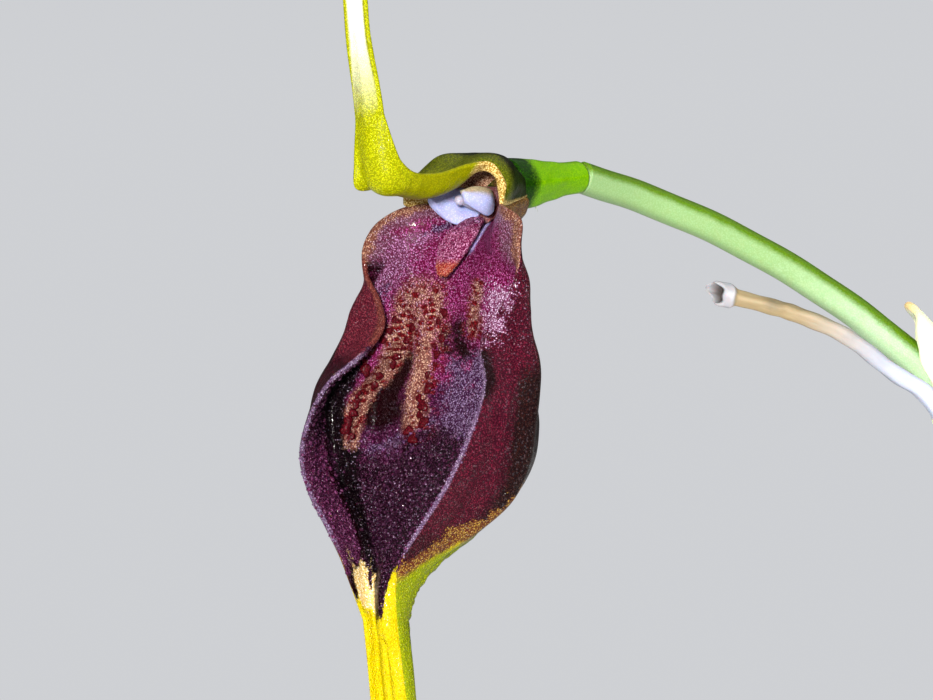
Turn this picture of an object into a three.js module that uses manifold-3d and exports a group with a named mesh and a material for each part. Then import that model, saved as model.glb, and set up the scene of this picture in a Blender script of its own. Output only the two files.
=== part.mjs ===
// A potted orchid, Masdevallia trochilus, in flower. Millimetres, +Z up.
// The origin is the middle of the pot's underside. +X is to the right and +Y away from the
// eye when the plant is seen from the front, where its flower faces 40 degrees to the left.
import * as THREE from 'three';
import { mergeVertices } from 'three/addons/utils/BufferGeometryUtils.js';
import Module from 'manifold-3d';

const wasm = await Module();
wasm.setup();

// Driving dimensions of the pot and what fills it.
const POT_HEIGHT = 92;
const POT_TOP_RADIUS = 54;
const POT_BASE_RADIUS = 36;
const POT_WALL = 5;
const POT_FLOOR = 6;
const RIM_HEIGHT = 21;
const RIM_STEP = 3.5;
const RIM_ROUND = 1.6;
const FOOT_ROUND = 1.2;
const DRAIN_COUNT = 4;
const DRAIN_RADIUS = 4;
const DRAIN_CIRCLE = 21;
const MIX_BELOW_RIM = 12;
const MIX_CROWN = 3;
const SEAT_GAP = 0.3;
const CHIP_COUNT = 84;
const CHIP_CLEARANCE = 9;
const CHIP_SINK = 0.6;
const GOLDEN_ANGLE = 2.399963;

// Driving dimensions of the plant.
const STEM_RADIUS = 1.5;
const STEM_DEPTH = 16;
const LEAF_THICKNESS = 1.7;
const LEAF_HALF_WIDTH = 11.5;
const LEAF_STEPS = 17;
const SHEATH_FOOT = 2.4;
const SHEATH_REACH = 3.1;
const BORE_LENGTH = 46;
const SCAPE_RADIUS = 2.1;
const SCAPE_WING = 0.28;
const FLOWER_STALK_RADIUS = 1.05;
const SEPAL_THICKNESS = 0.8;
const TAIL_THICKNESS = 0.7;
const TAIL_LENGTH = 92;
const FLOWER_TURN = THREE.MathUtils.degToRad(40);
const FLOWER_ORIGIN = new THREE.Vector3(-12.5, -12, 362.1);

const MIX_LEVEL = POT_HEIGHT - MIX_BELOW_RIM;
const TURN = Math.PI * 2;
const UP = new THREE.Vector3(0, 0, 1);
const { lerp, clamp, smoothstep, degToRad } = THREE.MathUtils;

const MATERIALS = {
  terracotta: { color: 0xb5673f, roughness: 0.9 },
  bark: { color: 0x5c3d28, roughness: 0.95 },
  leaf_green: { color: 0x4f7a2b, roughness: 0.45 },
  dry_sheath: { color: 0xb29a72, roughness: 0.85 },
  scape_green: { color: 0x6b8f3a, roughness: 0.5 },
  stalk_green: { color: 0xa9cf7e, roughness: 0.45 },
  ovary_green: { color: 0x6faa12, roughness: 0.4 },
  bract_pale: { color: 0xe3ecc8, roughness: 0.6 },
  sepal_yellow: { color: 0xc9c414, roughness: 0.45 },
  sepal_maroon: { color: 0x5a1730, roughness: 0.4 },
  petal_white: { color: 0xe9e6ef, roughness: 0.4 },
  lip_rose: { color: 0xb04a5a, roughness: 0.5 },
};

const plant = new THREE.Group();

// A fixed sequence of numbers from 0 to 1, the same on every run.
function seededRandom(seed) {
  let state = seed;
  return () => {
    state = (state * 1664525 + 1013904223) % 4294967296;
    return state / 4294967296;
  };
}

function addPiece(name, material, geometry) {
  const mesh = new THREE.Mesh(
    geometry,
    new THREE.MeshStandardMaterial({ metalness: 0, ...MATERIALS[material] }),
  );
  mesh.name = name;
  plant.add(mesh);
}

// Booleans.
function toSolid(geometry) {
  const bare = geometry.clone();
  bare.deleteAttribute('normal');
  bare.deleteAttribute('uv');
  const merged = mergeVertices(bare, 1e-4);
  return new wasm.Manifold(
    new wasm.Mesh({
      numProp: 3,
      vertProperties: merged.attributes.position.array,
      triVerts: new Uint32Array(merged.index.array),
    }),
  );
}

function fromSolid(solid) {
  const mesh = solid.getMesh();
  return new THREE.BufferGeometry()
    .setAttribute('position', new THREE.BufferAttribute(mesh.vertProperties, 3))
    .setIndex(new THREE.BufferAttribute(mesh.triVerts, 1));
}

// A closed skin from rings of points, each ring running the same way round, with flat ends.
function loft(rings) {
  const around = rings[0].length;
  const points = rings.flat();
  const faces = [];
  for (let i = 0; i < rings.length - 1; i++) {
    for (let j = 0; j < around; j++) {
      const a = i * around + j;
      const b = i * around + ((j + 1) % around);
      faces.push(a, b, b + around, a, b + around, a + around);
    }
  }
  const last = (rings.length - 1) * around;
  for (let j = 1; j < around - 1; j++) {
    faces.push(0, j + 1, j);
    faces.push(last, last + j, last + j + 1);
  }
  return new THREE.BufferGeometry().setFromPoints(points).setIndex(faces);
}

// A sheet of even thickness round a grid of middle points, rows[i][j].
function thickSheet(rows, thickness) {
  const rowCount = rows.length;
  const columnCount = rows[0].length;
  const at = (i, j) => rows[clamp(i, 0, rowCount - 1)][clamp(j, 0, columnCount - 1)];
  const front = [];
  const back = [];
  for (let i = 0; i < rowCount; i++) {
    for (let j = 0; j < columnCount; j++) {
      const along = at(i + 1, j).clone().sub(at(i - 1, j));
      const across = at(i, j + 1).clone().sub(at(i, j - 1));
      const normal = along.cross(across).normalize().multiplyScalar(thickness / 2);
      front.push(at(i, j).clone().add(normal));
      back.push(at(i, j).clone().sub(normal));
    }
  }
  const faces = [];
  const backStart = front.length;
  const index = (i, j) => i * columnCount + j;
  for (let i = 0; i < rowCount - 1; i++) {
    for (let j = 0; j < columnCount - 1; j++) {
      const [a, b, c, d] = [index(i, j), index(i + 1, j), index(i + 1, j + 1), index(i, j + 1)];
      faces.push(a, b, c, a, c, d);
      faces.push(backStart + a, backStart + c, backStart + b);
      faces.push(backStart + a, backStart + d, backStart + c);
    }
  }
  const edge = [];
  for (let j = 0; j < columnCount - 1; j++) edge.push(index(0, j));
  for (let i = 0; i < rowCount - 1; i++) edge.push(index(i, columnCount - 1));
  for (let j = columnCount - 1; j > 0; j--) edge.push(index(rowCount - 1, j));
  for (let i = rowCount - 1; i > 0; i--) edge.push(index(i, 0));
  edge.forEach((a, k) => {
    const b = edge[(k + 1) % edge.length];
    faces.push(a, b, backStart + b, a, backStart + b, backStart + a);
  });
  return new THREE.BufferGeometry().setFromPoints([...front, ...back]).setIndex(faces);
}

// A curve's points with a level side vector at each, for lofting along it.
function framesAlong(curve, count, sideHint) {
  const frames = [];
  for (let i = 0; i <= count; i++) {
    const centre = curve.getPoint(i / count);
    const tangent = curve.getTangent(i / count);
    const side = sideHint.clone().addScaledVector(tangent, -sideHint.dot(tangent)).normalize();
    const face = tangent.clone().cross(side);
    frames.push({ centre, tangent, side, face, t: i / count });
  }
  return frames;
}

// A rod along a curve. radius(t, angle) gives its size, so that ribs and wings are a formula.
function rod(curve, count, sides, radius, sideHint = new THREE.Vector3(0, 1, 0)) {
  return loft(
    framesAlong(curve, count, sideHint).map(({ centre, side, face, t }) =>
      Array.from({ length: sides }, (_, k) => {
        const angle = (k / sides) * TURN;
        const size = radius(t, angle);
        return centre
          .clone()
          .addScaledVector(side, size * Math.cos(angle))
          .addScaledVector(face, size * Math.sin(angle));
      }),
    ),
  );
}

// A flat, slightly channelled ribbon along a curve, with six points round its section.
function ribbon(curve, count, halfWidth, thickness, channel, sideHint) {
  const outline = [
    [1, 0.35],
    [0, 0.5],
    [-1, 0.35],
    [-1, -0.35],
    [0, -0.5],
    [1, -0.35],
  ];
  return loft(
    framesAlong(curve, count, sideHint).map(({ centre, side, face, t }) =>
      outline.map(([across, through]) =>
        centre
          .clone()
          .addScaledVector(side, across * halfWidth(t))
          .addScaledVector(face, through * thickness + channel * Math.abs(across) * halfWidth(t)),
      ),
    ),
  );
}

// The pot: a plain tapered clay pot with a rim band and drainage holes.
function potRadiusAt(height) {
  return lerp(POT_BASE_RADIUS, POT_TOP_RADIUS - RIM_STEP, height / (POT_HEIGHT - RIM_HEIGHT));
}

function makePot() {
  const rimUnder = POT_HEIGHT - RIM_HEIGHT;
  const bodyTop = POT_TOP_RADIUS - RIM_STEP;
  const innerFloor = potRadiusAt(POT_FLOOR) - POT_WALL;
  const profile = [
    [0, 0],
    [POT_BASE_RADIUS - FOOT_ROUND, 0],
    [POT_BASE_RADIUS, FOOT_ROUND],
    [bodyTop, rimUnder],
    [POT_TOP_RADIUS - 0.6, rimUnder + 0.8],
    [POT_TOP_RADIUS, rimUnder + 2.4],
    [POT_TOP_RADIUS + 0.6, POT_HEIGHT - RIM_ROUND],
    [POT_TOP_RADIUS - 0.6, POT_HEIGHT],
    [POT_TOP_RADIUS - POT_WALL, POT_HEIGHT],
    [POT_TOP_RADIUS - POT_WALL - RIM_ROUND, POT_HEIGHT - RIM_ROUND],
    [bodyTop - POT_WALL, rimUnder],
    [innerFloor, POT_FLOOR],
    [0, POT_FLOOR],
  ].map(([x, y]) => new THREE.Vector2(x, y));
  let pot = toSolid(new THREE.LatheGeometry(profile, 40).rotateX(Math.PI / 2));
  for (let i = 0; i < DRAIN_COUNT; i++) {
    const angle = ((i + 0.5) / DRAIN_COUNT) * TURN;
    const drain = new THREE.CylinderGeometry(DRAIN_RADIUS, DRAIN_RADIUS, POT_FLOOR * 3, 16)
      .rotateX(Math.PI / 2)
      .translate(DRAIN_CIRCLE * Math.cos(angle), DRAIN_CIRCLE * Math.sin(angle), POT_FLOOR / 2);
    pot = pot.subtract(toSolid(drain));
  }
  addPiece('pot', 'terracotta', fromSolid(pot));
}

// Leafy stems. Each stands in the mix at (radius, azimuth), leans outward and arches a little.
const LEAF_RINGS = [
  { count: 3, radius: 7.5, first: 70, lean: 4, arch: 7, length: 152 },
  { count: 5, radius: 13.5, first: 22, lean: 12, arch: 20, length: 146 },
  { count: 6, radius: 21, first: -3, lean: 23, arch: 34, length: 134 },
];

function leafPlan() {
  const random = seededRandom(11);
  const leaves = [];
  LEAF_RINGS.forEach((ring) => {
    for (let i = 0; i < ring.count; i++) {
      const azimuth = ring.first + (360 / ring.count) * i + lerp(-5, 5, random());
      leaves.push({
        azimuth: degToRad(azimuth),
        radius: ring.radius + lerp(-0.6, 0.6, random()),
        lean: degToRad(ring.lean + lerp(-1.5, 1.5, random())),
        arch: degToRad(ring.arch * lerp(0.8, 1.3, random())),
        length: ring.length * lerp(0.9, 1.05, random()),
        halfWidth: LEAF_HALF_WIDTH * lerp(0.86, 1.05, random()),
        stem: lerp(36, 48, random()),
        roll: degToRad(lerp(-9, 9, random())),
      });
    }
  });
  return leaves;
}

// The spine of a leafy stem from below the mix to the blade's tip.
function leafSpine(leaf, steps) {
  const outward = new THREE.Vector3(Math.cos(leaf.azimuth), Math.sin(leaf.azimuth), 0);
  const total = leaf.length + STEM_DEPTH;
  const step = total / steps;
  const position = outward.clone().multiplyScalar(leaf.radius).setZ(MIX_LEVEL);
  const start = UP.clone().multiplyScalar(Math.cos(leaf.lean));
  start.addScaledVector(outward, Math.sin(leaf.lean));
  position.addScaledVector(start, -STEM_DEPTH);
  const points = [position.clone()];
  for (let i = 0; i < steps; i++) {
    const beyond = clamp(((i + 0.5) * step - STEM_DEPTH) / leaf.length, 0, 1);
    const tilt = leaf.lean + leaf.arch * beyond ** 1.6;
    position.addScaledVector(UP, Math.cos(tilt) * step);
    position.addScaledVector(outward, Math.sin(tilt) * step);
    points.push(position.clone());
  }
  return new THREE.CatmullRomCurve3(points);
}

// Half width and half thickness of a leafy stem at s mm above the mix: a round stem, a
// channelled stalk, and a narrow blade that is widest past its middle and blunt at its tip.
function leafSize(leaf, s) {
  const stalk = clamp((s - leaf.stem) / 24, 0, 1);
  const blade = clamp((s - leaf.stem - 14) / (leaf.length - leaf.stem - 14), 0, 1);
  const swell = Math.sin(Math.PI * blade ** 1.25) ** 0.85;
  const tip = Math.sqrt(clamp((1 - blade) / 0.12, 0, 1));
  const halfWidth = lerp(STEM_RADIUS, 2.1, stalk) + (leaf.halfWidth - 2.1) * swell;
  const halfThickness = lerp(STEM_RADIUS, LEAF_THICKNESS / 2, smoothstep(s, leaf.stem, leaf.stem + 40));
  return {
    halfWidth: Math.max(halfWidth * lerp(0.45, 1, tip), 0.8),
    halfThickness: halfThickness * lerp(0.6, 1, tip),
    fold: 0.34 * stalk * lerp(1, 0.35, blade),
  };
}

function makeLeaf(leaf, name) {
  const sides = 8;
  const outward = new THREE.Vector3(Math.cos(leaf.azimuth), Math.sin(leaf.azimuth), 0);
  const across = UP.clone().cross(outward).applyAxisAngle(UP, leaf.roll);
  const rings = framesAlong(leafSpine(leaf, LEAF_STEPS), LEAF_STEPS, across).map(
    ({ centre, side, face, t }) => {
      const s = t * (leaf.length + STEM_DEPTH) - STEM_DEPTH;
      const size = leafSize(leaf, s);
      return Array.from({ length: sides }, (_, k) => {
        const angle = (k / sides) * TURN;
        const width = size.halfWidth * Math.cos(angle);
        const rise = size.halfThickness * Math.sin(angle) - size.fold * Math.abs(width);
        return centre.clone().addScaledVector(side, width).addScaledVector(face, rise);
      });
    },
  );
  addPiece(name, 'leaf_green', loft(rings));
}

// The dry tubular sheath round the foot of each stem.
function makeSheath(leaf, name) {
  const bottom = STEM_RADIUS + SEAT_GAP;
  const height = leaf.stem - 6;
  const sides = 7;
  const spine = leafSpine(leaf, LEAF_STEPS);
  const total = leaf.length + STEM_DEPTH;
  const outward = new THREE.Vector3(Math.cos(leaf.azimuth), Math.sin(leaf.azimuth), 0);
  const rows = [];
  const levels = [SHEATH_FOOT, 0.5 * height, height];
  levels.forEach((s) => {
    const t = (s + STEM_DEPTH) / total;
    const centre = spine.getPoint(t);
    const tangent = spine.getTangent(t);
    const side = UP.clone().cross(outward).normalize();
    const face = tangent.clone().cross(side);
    const flare = bottom + 0.35 + 0.5 * Math.sin((s / height) * Math.PI);
    rows.push(
      Array.from({ length: sides + 1 }, (_, k) => {
        const angle = -Math.PI / 2 + (k / sides) * TURN * 0.93;
        const notch = s === height ? 5 * (1 - Math.abs(2 * (k / sides) - 1)) : 0;
        return centre
          .clone()
          .addScaledVector(side, flare * Math.cos(angle))
          .addScaledVector(face, flare * Math.sin(angle))
          .addScaledVector(tangent, notch);
      }),
    );
  });
  addPiece(name, 'dry_sheath', thickSheet(rows, 0.6));
}

// The flower stem: three-winged, rising from the clump to the foot of the flower's stalk.
const SCAPE_FOOT = new THREE.Vector3(4.5, -1, MIX_LEVEL - STEM_DEPTH);
const SCAPE_TOP = new THREE.Vector3(19.6, 0.2, 344.2);
const scapeCurve = new THREE.CubicBezierCurve3(
  SCAPE_FOOT,
  SCAPE_FOOT.clone().add(new THREE.Vector3(3, 0, 105)),
  SCAPE_TOP.clone().add(new THREE.Vector3(-0.6, 0, -85)),
  SCAPE_TOP,
);

function makeScape() {
  const wings = (t, angle) => {
    const winged = 1 + SCAPE_WING * Math.cos(3 * angle);
    return SCAPE_RADIUS * lerp(1.05, 0.9, t) * winged;
  };
  addPiece('flower_stem', 'scape_green', rod(scapeCurve, 26, 12, wings));
}

// Tubular bracts along the flower stem, at the places where its joints are.
const STEM_BRACTS = [0.24, 0.5, 0.76];

function makeStemBract(t, name) {
  const length = 13;
  const sides = 10;
  const share = length / scapeCurve.getLength();
  const rows = [0, 0.35, 0.7, 1].map((along) => {
    const point = scapeCurve.getPointAt(t + along * share);
    const tangent = scapeCurve.getTangentAt(t);
    const side = new THREE.Vector3(0, 1, 0);
    const face = tangent.clone().cross(side).normalize();
    const size = SCAPE_RADIUS * 1.28 + SEAT_GAP + 0.35 + 0.55 * along;
    return Array.from({ length: sides + 1 }, (_, k) => {
      const angle = Math.PI + (k / sides) * TURN * 0.94;
      const peak = along === 1 ? 5 * (1 - Math.abs(2 * (k / sides) - 1)) ** 1.5 : 0;
      return point
        .clone()
        .addScaledVector(side, size * Math.cos(angle))
        .addScaledVector(face, size * Math.sin(angle))
        .addScaledVector(tangent, peak);
    });
  });
  addPiece(name, 'dry_sheath', thickSheet(rows, 0.6));
}

// A round bore along a direction, starting a given way from the foot, for a stem to stand in.
function bore(foot, direction, radius, start) {
  const turn = new THREE.Quaternion().setFromUnitVectors(UP, direction.clone().normalize());
  const plug = new THREE.CylinderGeometry(radius, radius, BORE_LENGTH, 10)
    .rotateX(Math.PI / 2)
    .translate(0, 0, BORE_LENGTH / 2 + start)
    .applyQuaternion(turn)
    .translate(foot.x, foot.y, foot.z);
  return toSolid(plug);
}

// One bark chip: a box with its corners nudged, lying at a slight tilt.
function makeChip(random, seed) {
  const size = lerp(8, 14, random());
  const geometry = new THREE.BoxGeometry(size, size * lerp(0.45, 0.75, random()), lerp(4, 6, random()));
  const corners = geometry.attributes.position;
  for (let c = 0; c < corners.count; c++) {
    const [x, y, z] = [corners.getX(c), corners.getY(c), corners.getZ(c)];
    const nudge = Math.sin(x * 3 + y * 5 + z * 7 + seed);
    corners.setXYZ(c, x * (1 + 0.18 * nudge), y * (1 - 0.2 * nudge), z * (1 + 0.22 * nudge));
  }
  geometry
    .rotateX(lerp(-0.4, 0.4, random()))
    .rotateY(lerp(-0.4, 0.4, random()))
    .rotateZ(random() * TURN);
  return { geometry, reach: 0.42 * size };
}

// The potting mix: coarse bark filling the pot, with chips standing out of its top.
function makeMix(leaves) {
  const radiusAt = (z) => potRadiusAt(z) - POT_WALL - SEAT_GAP - 0.3;
  const bottom = POT_FLOOR + SEAT_GAP;
  const rimUnder = POT_HEIGHT - RIM_HEIGHT;
  const profile = [
    [0, bottom],
    [radiusAt(POT_FLOOR) - 0.4, bottom],
    [radiusAt(rimUnder), rimUnder],
    [radiusAt(rimUnder) + 1, MIX_LEVEL - 1.5],
    [radiusAt(rimUnder) * 0.6, MIX_LEVEL + MIX_CROWN * 0.7],
    [0, MIX_LEVEL + MIX_CROWN],
  ].map(([x, y]) => new THREE.Vector2(x, y));
  const random = seededRandom(5);
  const parts = [toSolid(new THREE.LatheGeometry(profile, 32).rotateX(Math.PI / 2))];
  for (let i = 0; i < CHIP_COUNT; i++) {
    const radius = (radiusAt(rimUnder) - CHIP_CLEARANCE) * Math.sqrt((i + 0.5) / CHIP_COUNT);
    const azimuth = i * GOLDEN_ANGLE;
    const place = new THREE.Vector3(radius * Math.cos(azimuth), radius * Math.sin(azimuth), 0);
    const crown = MIX_CROWN * (1 - (radius / radiusAt(rimUnder)) ** 2);
    place.setZ(MIX_LEVEL + crown - CHIP_SINK);
    const chip = makeChip(random, i);
    const clear = leaves.every((leaf) => {
      const x = leaf.radius * Math.cos(leaf.azimuth);
      const y = leaf.radius * Math.sin(leaf.azimuth);
      return Math.hypot(place.x - x, place.y - y) > chip.reach + SHEATH_REACH;
    });
    if (clear) parts.push(toSolid(chip.geometry.translate(place.x, place.y, place.z)));
  }
  let mix = parts.reduce((sum, part) => sum.add(part));
  leaves.forEach((leaf) => {
    const spine = leafSpine(leaf, LEAF_STEPS);
    const foot = spine.getPoint(0);
    const direction = spine.getTangent(0);
    mix = mix.subtract(bore(foot, direction, STEM_RADIUS + SEAT_GAP, -SEAT_GAP));
    mix = mix.subtract(bore(foot, direction, SHEATH_REACH, STEM_DEPTH + SHEATH_FOOT - SEAT_GAP));
  });
  const scapeBore = SCAPE_RADIUS * (1 + SCAPE_WING) * 1.05 + SEAT_GAP;
  mix = mix.subtract(bore(SCAPE_FOOT, scapeCurve.getTangent(0), scapeBore, -SEAT_GAP));
  const [largest] = mix.decompose().sort((a, b) => b.volume() - a.volume());
  addPiece('potting_mix', 'bark', fromSolid(largest));
}

// The flower's own frame: R to its right as one faces it, F the way it faces, D downward.
const FORWARD = new THREE.Vector3(-Math.sin(FLOWER_TURN), -Math.cos(FLOWER_TURN), 0);
const RIGHTWARD = new THREE.Vector3(Math.cos(FLOWER_TURN), -Math.sin(FLOWER_TURN), 0);

function inFlower(r, f, d) {
  return FLOWER_ORIGIN.clone()
    .addScaledVector(RIGHTWARD, r)
    .addScaledVector(FORWARD, f)
    .addScaledVector(UP, -d);
}

// A grid of points through guide lines: guides[g][k] is guide g at station k.
function surfaceThrough(guides, rowCount, columnCount, lastRow = 1) {
  const lines = guides.map((guide) => new THREE.CatmullRomCurve3(guide, false, 'catmullrom', 0.5));
  return Array.from({ length: rowCount + 1 }, (_, i) => {
    const section = new THREE.CatmullRomCurve3(
      lines.map((line) => line.getPoint((i / rowCount) * lastRow)),
      false,
      'catmullrom',
      0.5,
    );
    return Array.from({ length: columnCount + 1 }, (_, j) => section.getPoint(j / columnCount));
  });
}

// The joined lateral sepals, from the tube's foot down to the fork of the two tails.
// keel: F, D. floor: half width, F. belly: half width, F. rim: half width, F, D.
const CUP_STATIONS = [
  { keel: [-1.0, 1.6], floor: [0.9, -1.0], belly: [1.4, -1.0], rim: [1.6, -1.0, 0.2] },
  { keel: [1.2, 2.2], floor: [1.6, 1.4], belly: [2.5, 1.9], rim: [3.0, 2.2, 0.6] },
  { keel: [2.7, 2.9], floor: [2.1, 3.0], belly: [3.5, 3.8], rim: [4.3, 4.3, 0.8] },
  { keel: [3.6, 3.9], floor: [2.6, 4.1], belly: [4.6, 5.0], rim: [6.2, 5.4, 1.75] },
  { keel: [4.2, 5.2], floor: [3.0, 4.6], belly: [5.2, 5.0], rim: [6.6, 6.0, 3.3] },
  { keel: [4.5, 6.8], floor: [3.4, 4.8], belly: [6.3, 4.7], rim: [6.3, 6.0, 4.9] },
  { keel: [4.4, 8.4], floor: [3.9, 4.7], belly: [7.4, 5.9], rim: [5.2, 6.3, 6.8] },
  { keel: [4.2, 10.0], floor: [4.6, 4.6], belly: [7.8, 6.7], rim: [4.2, 7.3, 8.6] },
  { keel: [4.2, 11.6], floor: [5.4, 4.7], belly: [8.4, 7.1], rim: [4.8, 8.6, 10.3] },
  { keel: [4.4, 13.3], floor: [6.0, 4.9], belly: [8.8, 7.4], rim: [6.3, 9.9, 12.2] },
  { keel: [5.0, 15.2], floor: [6.4, 5.0], belly: [8.9, 7.7], rim: [6.8, 11.2, 14.4] },
  { keel: [6.2, 17.2], floor: [6.4, 5.6], belly: [8.6, 7.9], rim: [6.5, 12.4, 16.8] },
  { keel: [7.8, 19.2], floor: [5.5, 6.6], belly: [7.5, 8.3], rim: [5.4, 12.9, 19.1] },
  { keel: [9.4, 21.2], floor: [3.9, 8.0], belly: [5.5, 9.2], rim: [4.0, 13.1, 21.2] },
  { keel: [10.9, 23.2], floor: [2.4, 9.8], belly: [3.5, 10.6], rim: [2.7, 13.1, 23.2] },
  { keel: [11.9, 25.2], floor: [1.3, 11.1], belly: [2.1, 11.6], rim: [1.9, 12.9, 25.2] },
  { keel: [12.0, 27.2], floor: [0.8, 11.4], belly: [1.4, 11.6], rim: [1.4, 12.4, 27.2] },
];
const FORK_SPREAD = 0.95;
const FLOOR_SHARE = 0.15;
const BELLY_SHARE = 0.5;
const SEAM_GAP = 0.22;
const RIGHT_FULLNESS = 0.88;

function cupGuides() {
  const guideAt = (side, width, place) =>
    CUP_STATIONS.map((station, k) => {
      const [r, f, d] = place(station, k);
      return inFlower(side * r * width, f, d);
    });
  const rimDrop = (s, k) => s.rim[2] + (k < 3 ? SEAM_GAP : 0);
  const rim = (s, k) => [s.rim[0], s.rim[1], rimDrop(s, k)];
  const belly = (s) => [s.belly[0], s.belly[1], lerp(s.keel[1], s.rim[2], BELLY_SHARE)];
  const floor = (s) => [s.floor[0], s.floor[1], lerp(s.keel[1], s.rim[2], FLOOR_SHARE)];
  const keel = (s) => [0, s.keel[0], s.keel[1]];
  return [
    guideAt(-1, 1, rim),
    guideAt(-1, 1, belly),
    guideAt(-1, 1, floor),
    guideAt(1, 1, keel),
    guideAt(1, RIGHT_FULLNESS, floor),
    guideAt(1, RIGHT_FULLNESS, belly),
    guideAt(1, 1, rim),
  ];
}

// The upper sepal, from the tube over the column to the foot of its tail.
// crest: F, D. side: half width, F, D. right and left rims: half width, F, D.
const HOOD_STATIONS = [
  { crest: [-1.0, -1.6], side: [1.3, -1.0, -1.0], right: [1.6, -1.0, 0.2], left: [1.6, -1.0, 0.2] },
  { crest: [1.2, -2.0], side: [2.4, 1.6, -1.4], right: [3.0, 2.2, 0.6], left: [3.0, 2.2, 0.6] },
  { crest: [2.6, -2.3], side: [3.1, 3.0, -1.5], right: [4.3, 4.3, 0.8], left: [4.3, 4.3, 0.8] },
  { crest: [3.7, -2.0], side: [2.5, 3.8, -1.8], right: [3.7, 3.9, -0.9], left: [3.7, 4.3, -0.4] },
  { crest: [5.0, -1.2], side: [1.9, 4.9, -1.4], right: [3.0, 4.8, -1.6], left: [3.0, 5.0, -1.2] },
  { crest: [6.5, -0.2], side: [1.5, 6.4, -0.6], right: [2.4, 6.4, -1.6], left: [2.5, 6.4, -1.0] },
  { crest: [8.4, 0.3], side: [1.2, 8.4, -0.1], right: [1.9, 8.5, -1.2], left: [2.0, 8.4, -0.8] },
  { crest: [10.4, 0.1], side: [1.1, 10.5, -0.2], right: [1.6, 10.6, -1.1], left: [1.7, 10.4, -0.4] },
  { crest: [12.4, -0.2], side: [1.0, 12.4, -0.6], right: [1.6, 12.0, -1.7], left: [1.5, 13.0, -0.1] },
  { crest: [13.2, -1.8], side: [0.9, 13.1, -1.9], right: [1.5, 12.6, -2.6], left: [1.4, 13.3, -1.9] },
  { crest: [13.6, -4.6], side: [0.8, 13.5, -4.6], right: [1.2, 13.4, -4.8], left: [1.1, 13.4, -4.6] },
];

function hoodGuides() {
  const lifted = ([r, f, d], k, side) => inFlower(side * r, f, d - (k < 3 ? SEAM_GAP : 0));
  return [
    HOOD_STATIONS.map((s, k) => lifted(s.left, k, -1)),
    HOOD_STATIONS.map((s) => inFlower(-s.side[0], s.side[1], s.side[2])),
    HOOD_STATIONS.map((s) => inFlower(0, s.crest[0], s.crest[1])),
    HOOD_STATIONS.map((s) => inFlower(s.side[0], s.side[1], s.side[2])),
    HOOD_STATIONS.map((s, k) => lifted(s.right, k, 1)),
  ];
}

// The upper tail rises from the hood's tip and leans back near its end.
function upperTailCurve() {
  const foot = HOOD_STATIONS[HOOD_STATIONS.length - 1].crest;
  const start = inFlower(0, foot[0], foot[1]);
  const rise = TAIL_LENGTH;
  return new THREE.CubicBezierCurve3(
    start,
    start.clone().add(new THREE.Vector3(-3.2, -3.2, rise * 0.33)),
    start.clone().add(new THREE.Vector3(-3, -2.5, rise * 0.7)),
    start.clone().add(new THREE.Vector3(3, 9, rise * 0.98)),
  );
}

function upperTailHalfWidth(t) {
  return lerp(1.15, 0.5, t ** 0.4);
}

function makeHood() {
  const blade = thickSheet(surfaceThrough(hoodGuides(), 18, 8), SEPAL_THICKNESS);
  const tail = ribbon(upperTailCurve(), 24, upperTailHalfWidth, TAIL_THICKNESS, 0, RIGHTWARD);
  addPiece('upper_sepal', 'sepal_yellow', fromSolid(toSolid(blade).add(toSolid(tail))));
}

function makeCup() {
  const sheet = surfaceThrough(cupGuides(), 26, 16);
  addPiece('lateral_sepals', 'sepal_maroon', thickSheet(sheet, SEPAL_THICKNESS));
}

// The two lower tails hang from the cup's fork, side by side at first and then apart.
function lowerTailCurve(side) {
  const last = CUP_STATIONS[CUP_STATIONS.length - 1];
  const start = inFlower(side * FORK_SPREAD, last.keel[0], last.rim[2] + SEAT_GAP);
  const fall = TAIL_LENGTH;
  return new THREE.CubicBezierCurve3(
    start,
    start.clone().add(new THREE.Vector3(2.6, 1.4, -fall * 0.25)),
    start.clone().add(new THREE.Vector3(side * 3 + 2, 1.5, -fall * 0.66)),
    start.clone().add(new THREE.Vector3(side * 9 + 2, -2 + side * 3, -fall * 0.96)),
  );
}

function makeLowerTails() {
  for (const [name, side] of [['lower_tail_left', -1], ['lower_tail_right', 1]]) {
    const halfWidth = (t) => lerp(0.8, 0.45, Math.sqrt(t));
    const geometry = ribbon(lowerTailCurve(side), 24, halfWidth, TAIL_THICKNESS, -0.25, RIGHTWARD);
    addPiece(name, 'sepal_yellow', geometry);
  }
}

// The column: a pale winged rod with a rounded cap, its foot reaching down to the lip.
function makeColumn() {
  const body = new THREE.CubicBezierCurve3(
    inFlower(0, -0.9, -0.1),
    inFlower(0, 0.8, -0.6),
    inFlower(0, 2.6, -0.5),
    inFlower(0, 4.1, 0.5),
  );
  const size = (t) => lerp(0.5, 0.95, t) * Math.sqrt(clamp((1.06 - t) / 0.2, 0.1, 1));
  const foot = new THREE.CubicBezierCurve3(
    inFlower(0, -0.3, 0),
    inFlower(0, 0.6, 0.9),
    inFlower(0, 1.3, 1.2),
    inFlower(0, 2.2, 1.5),
  );
  const column = toSolid(rod(body, 12, 10, size, RIGHTWARD)).add(
    toSolid(rod(foot, 7, 8, () => 0.45, RIGHTWARD)),
  );
  addPiece('column', 'petal_white', fromSolid(column));
}

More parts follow.
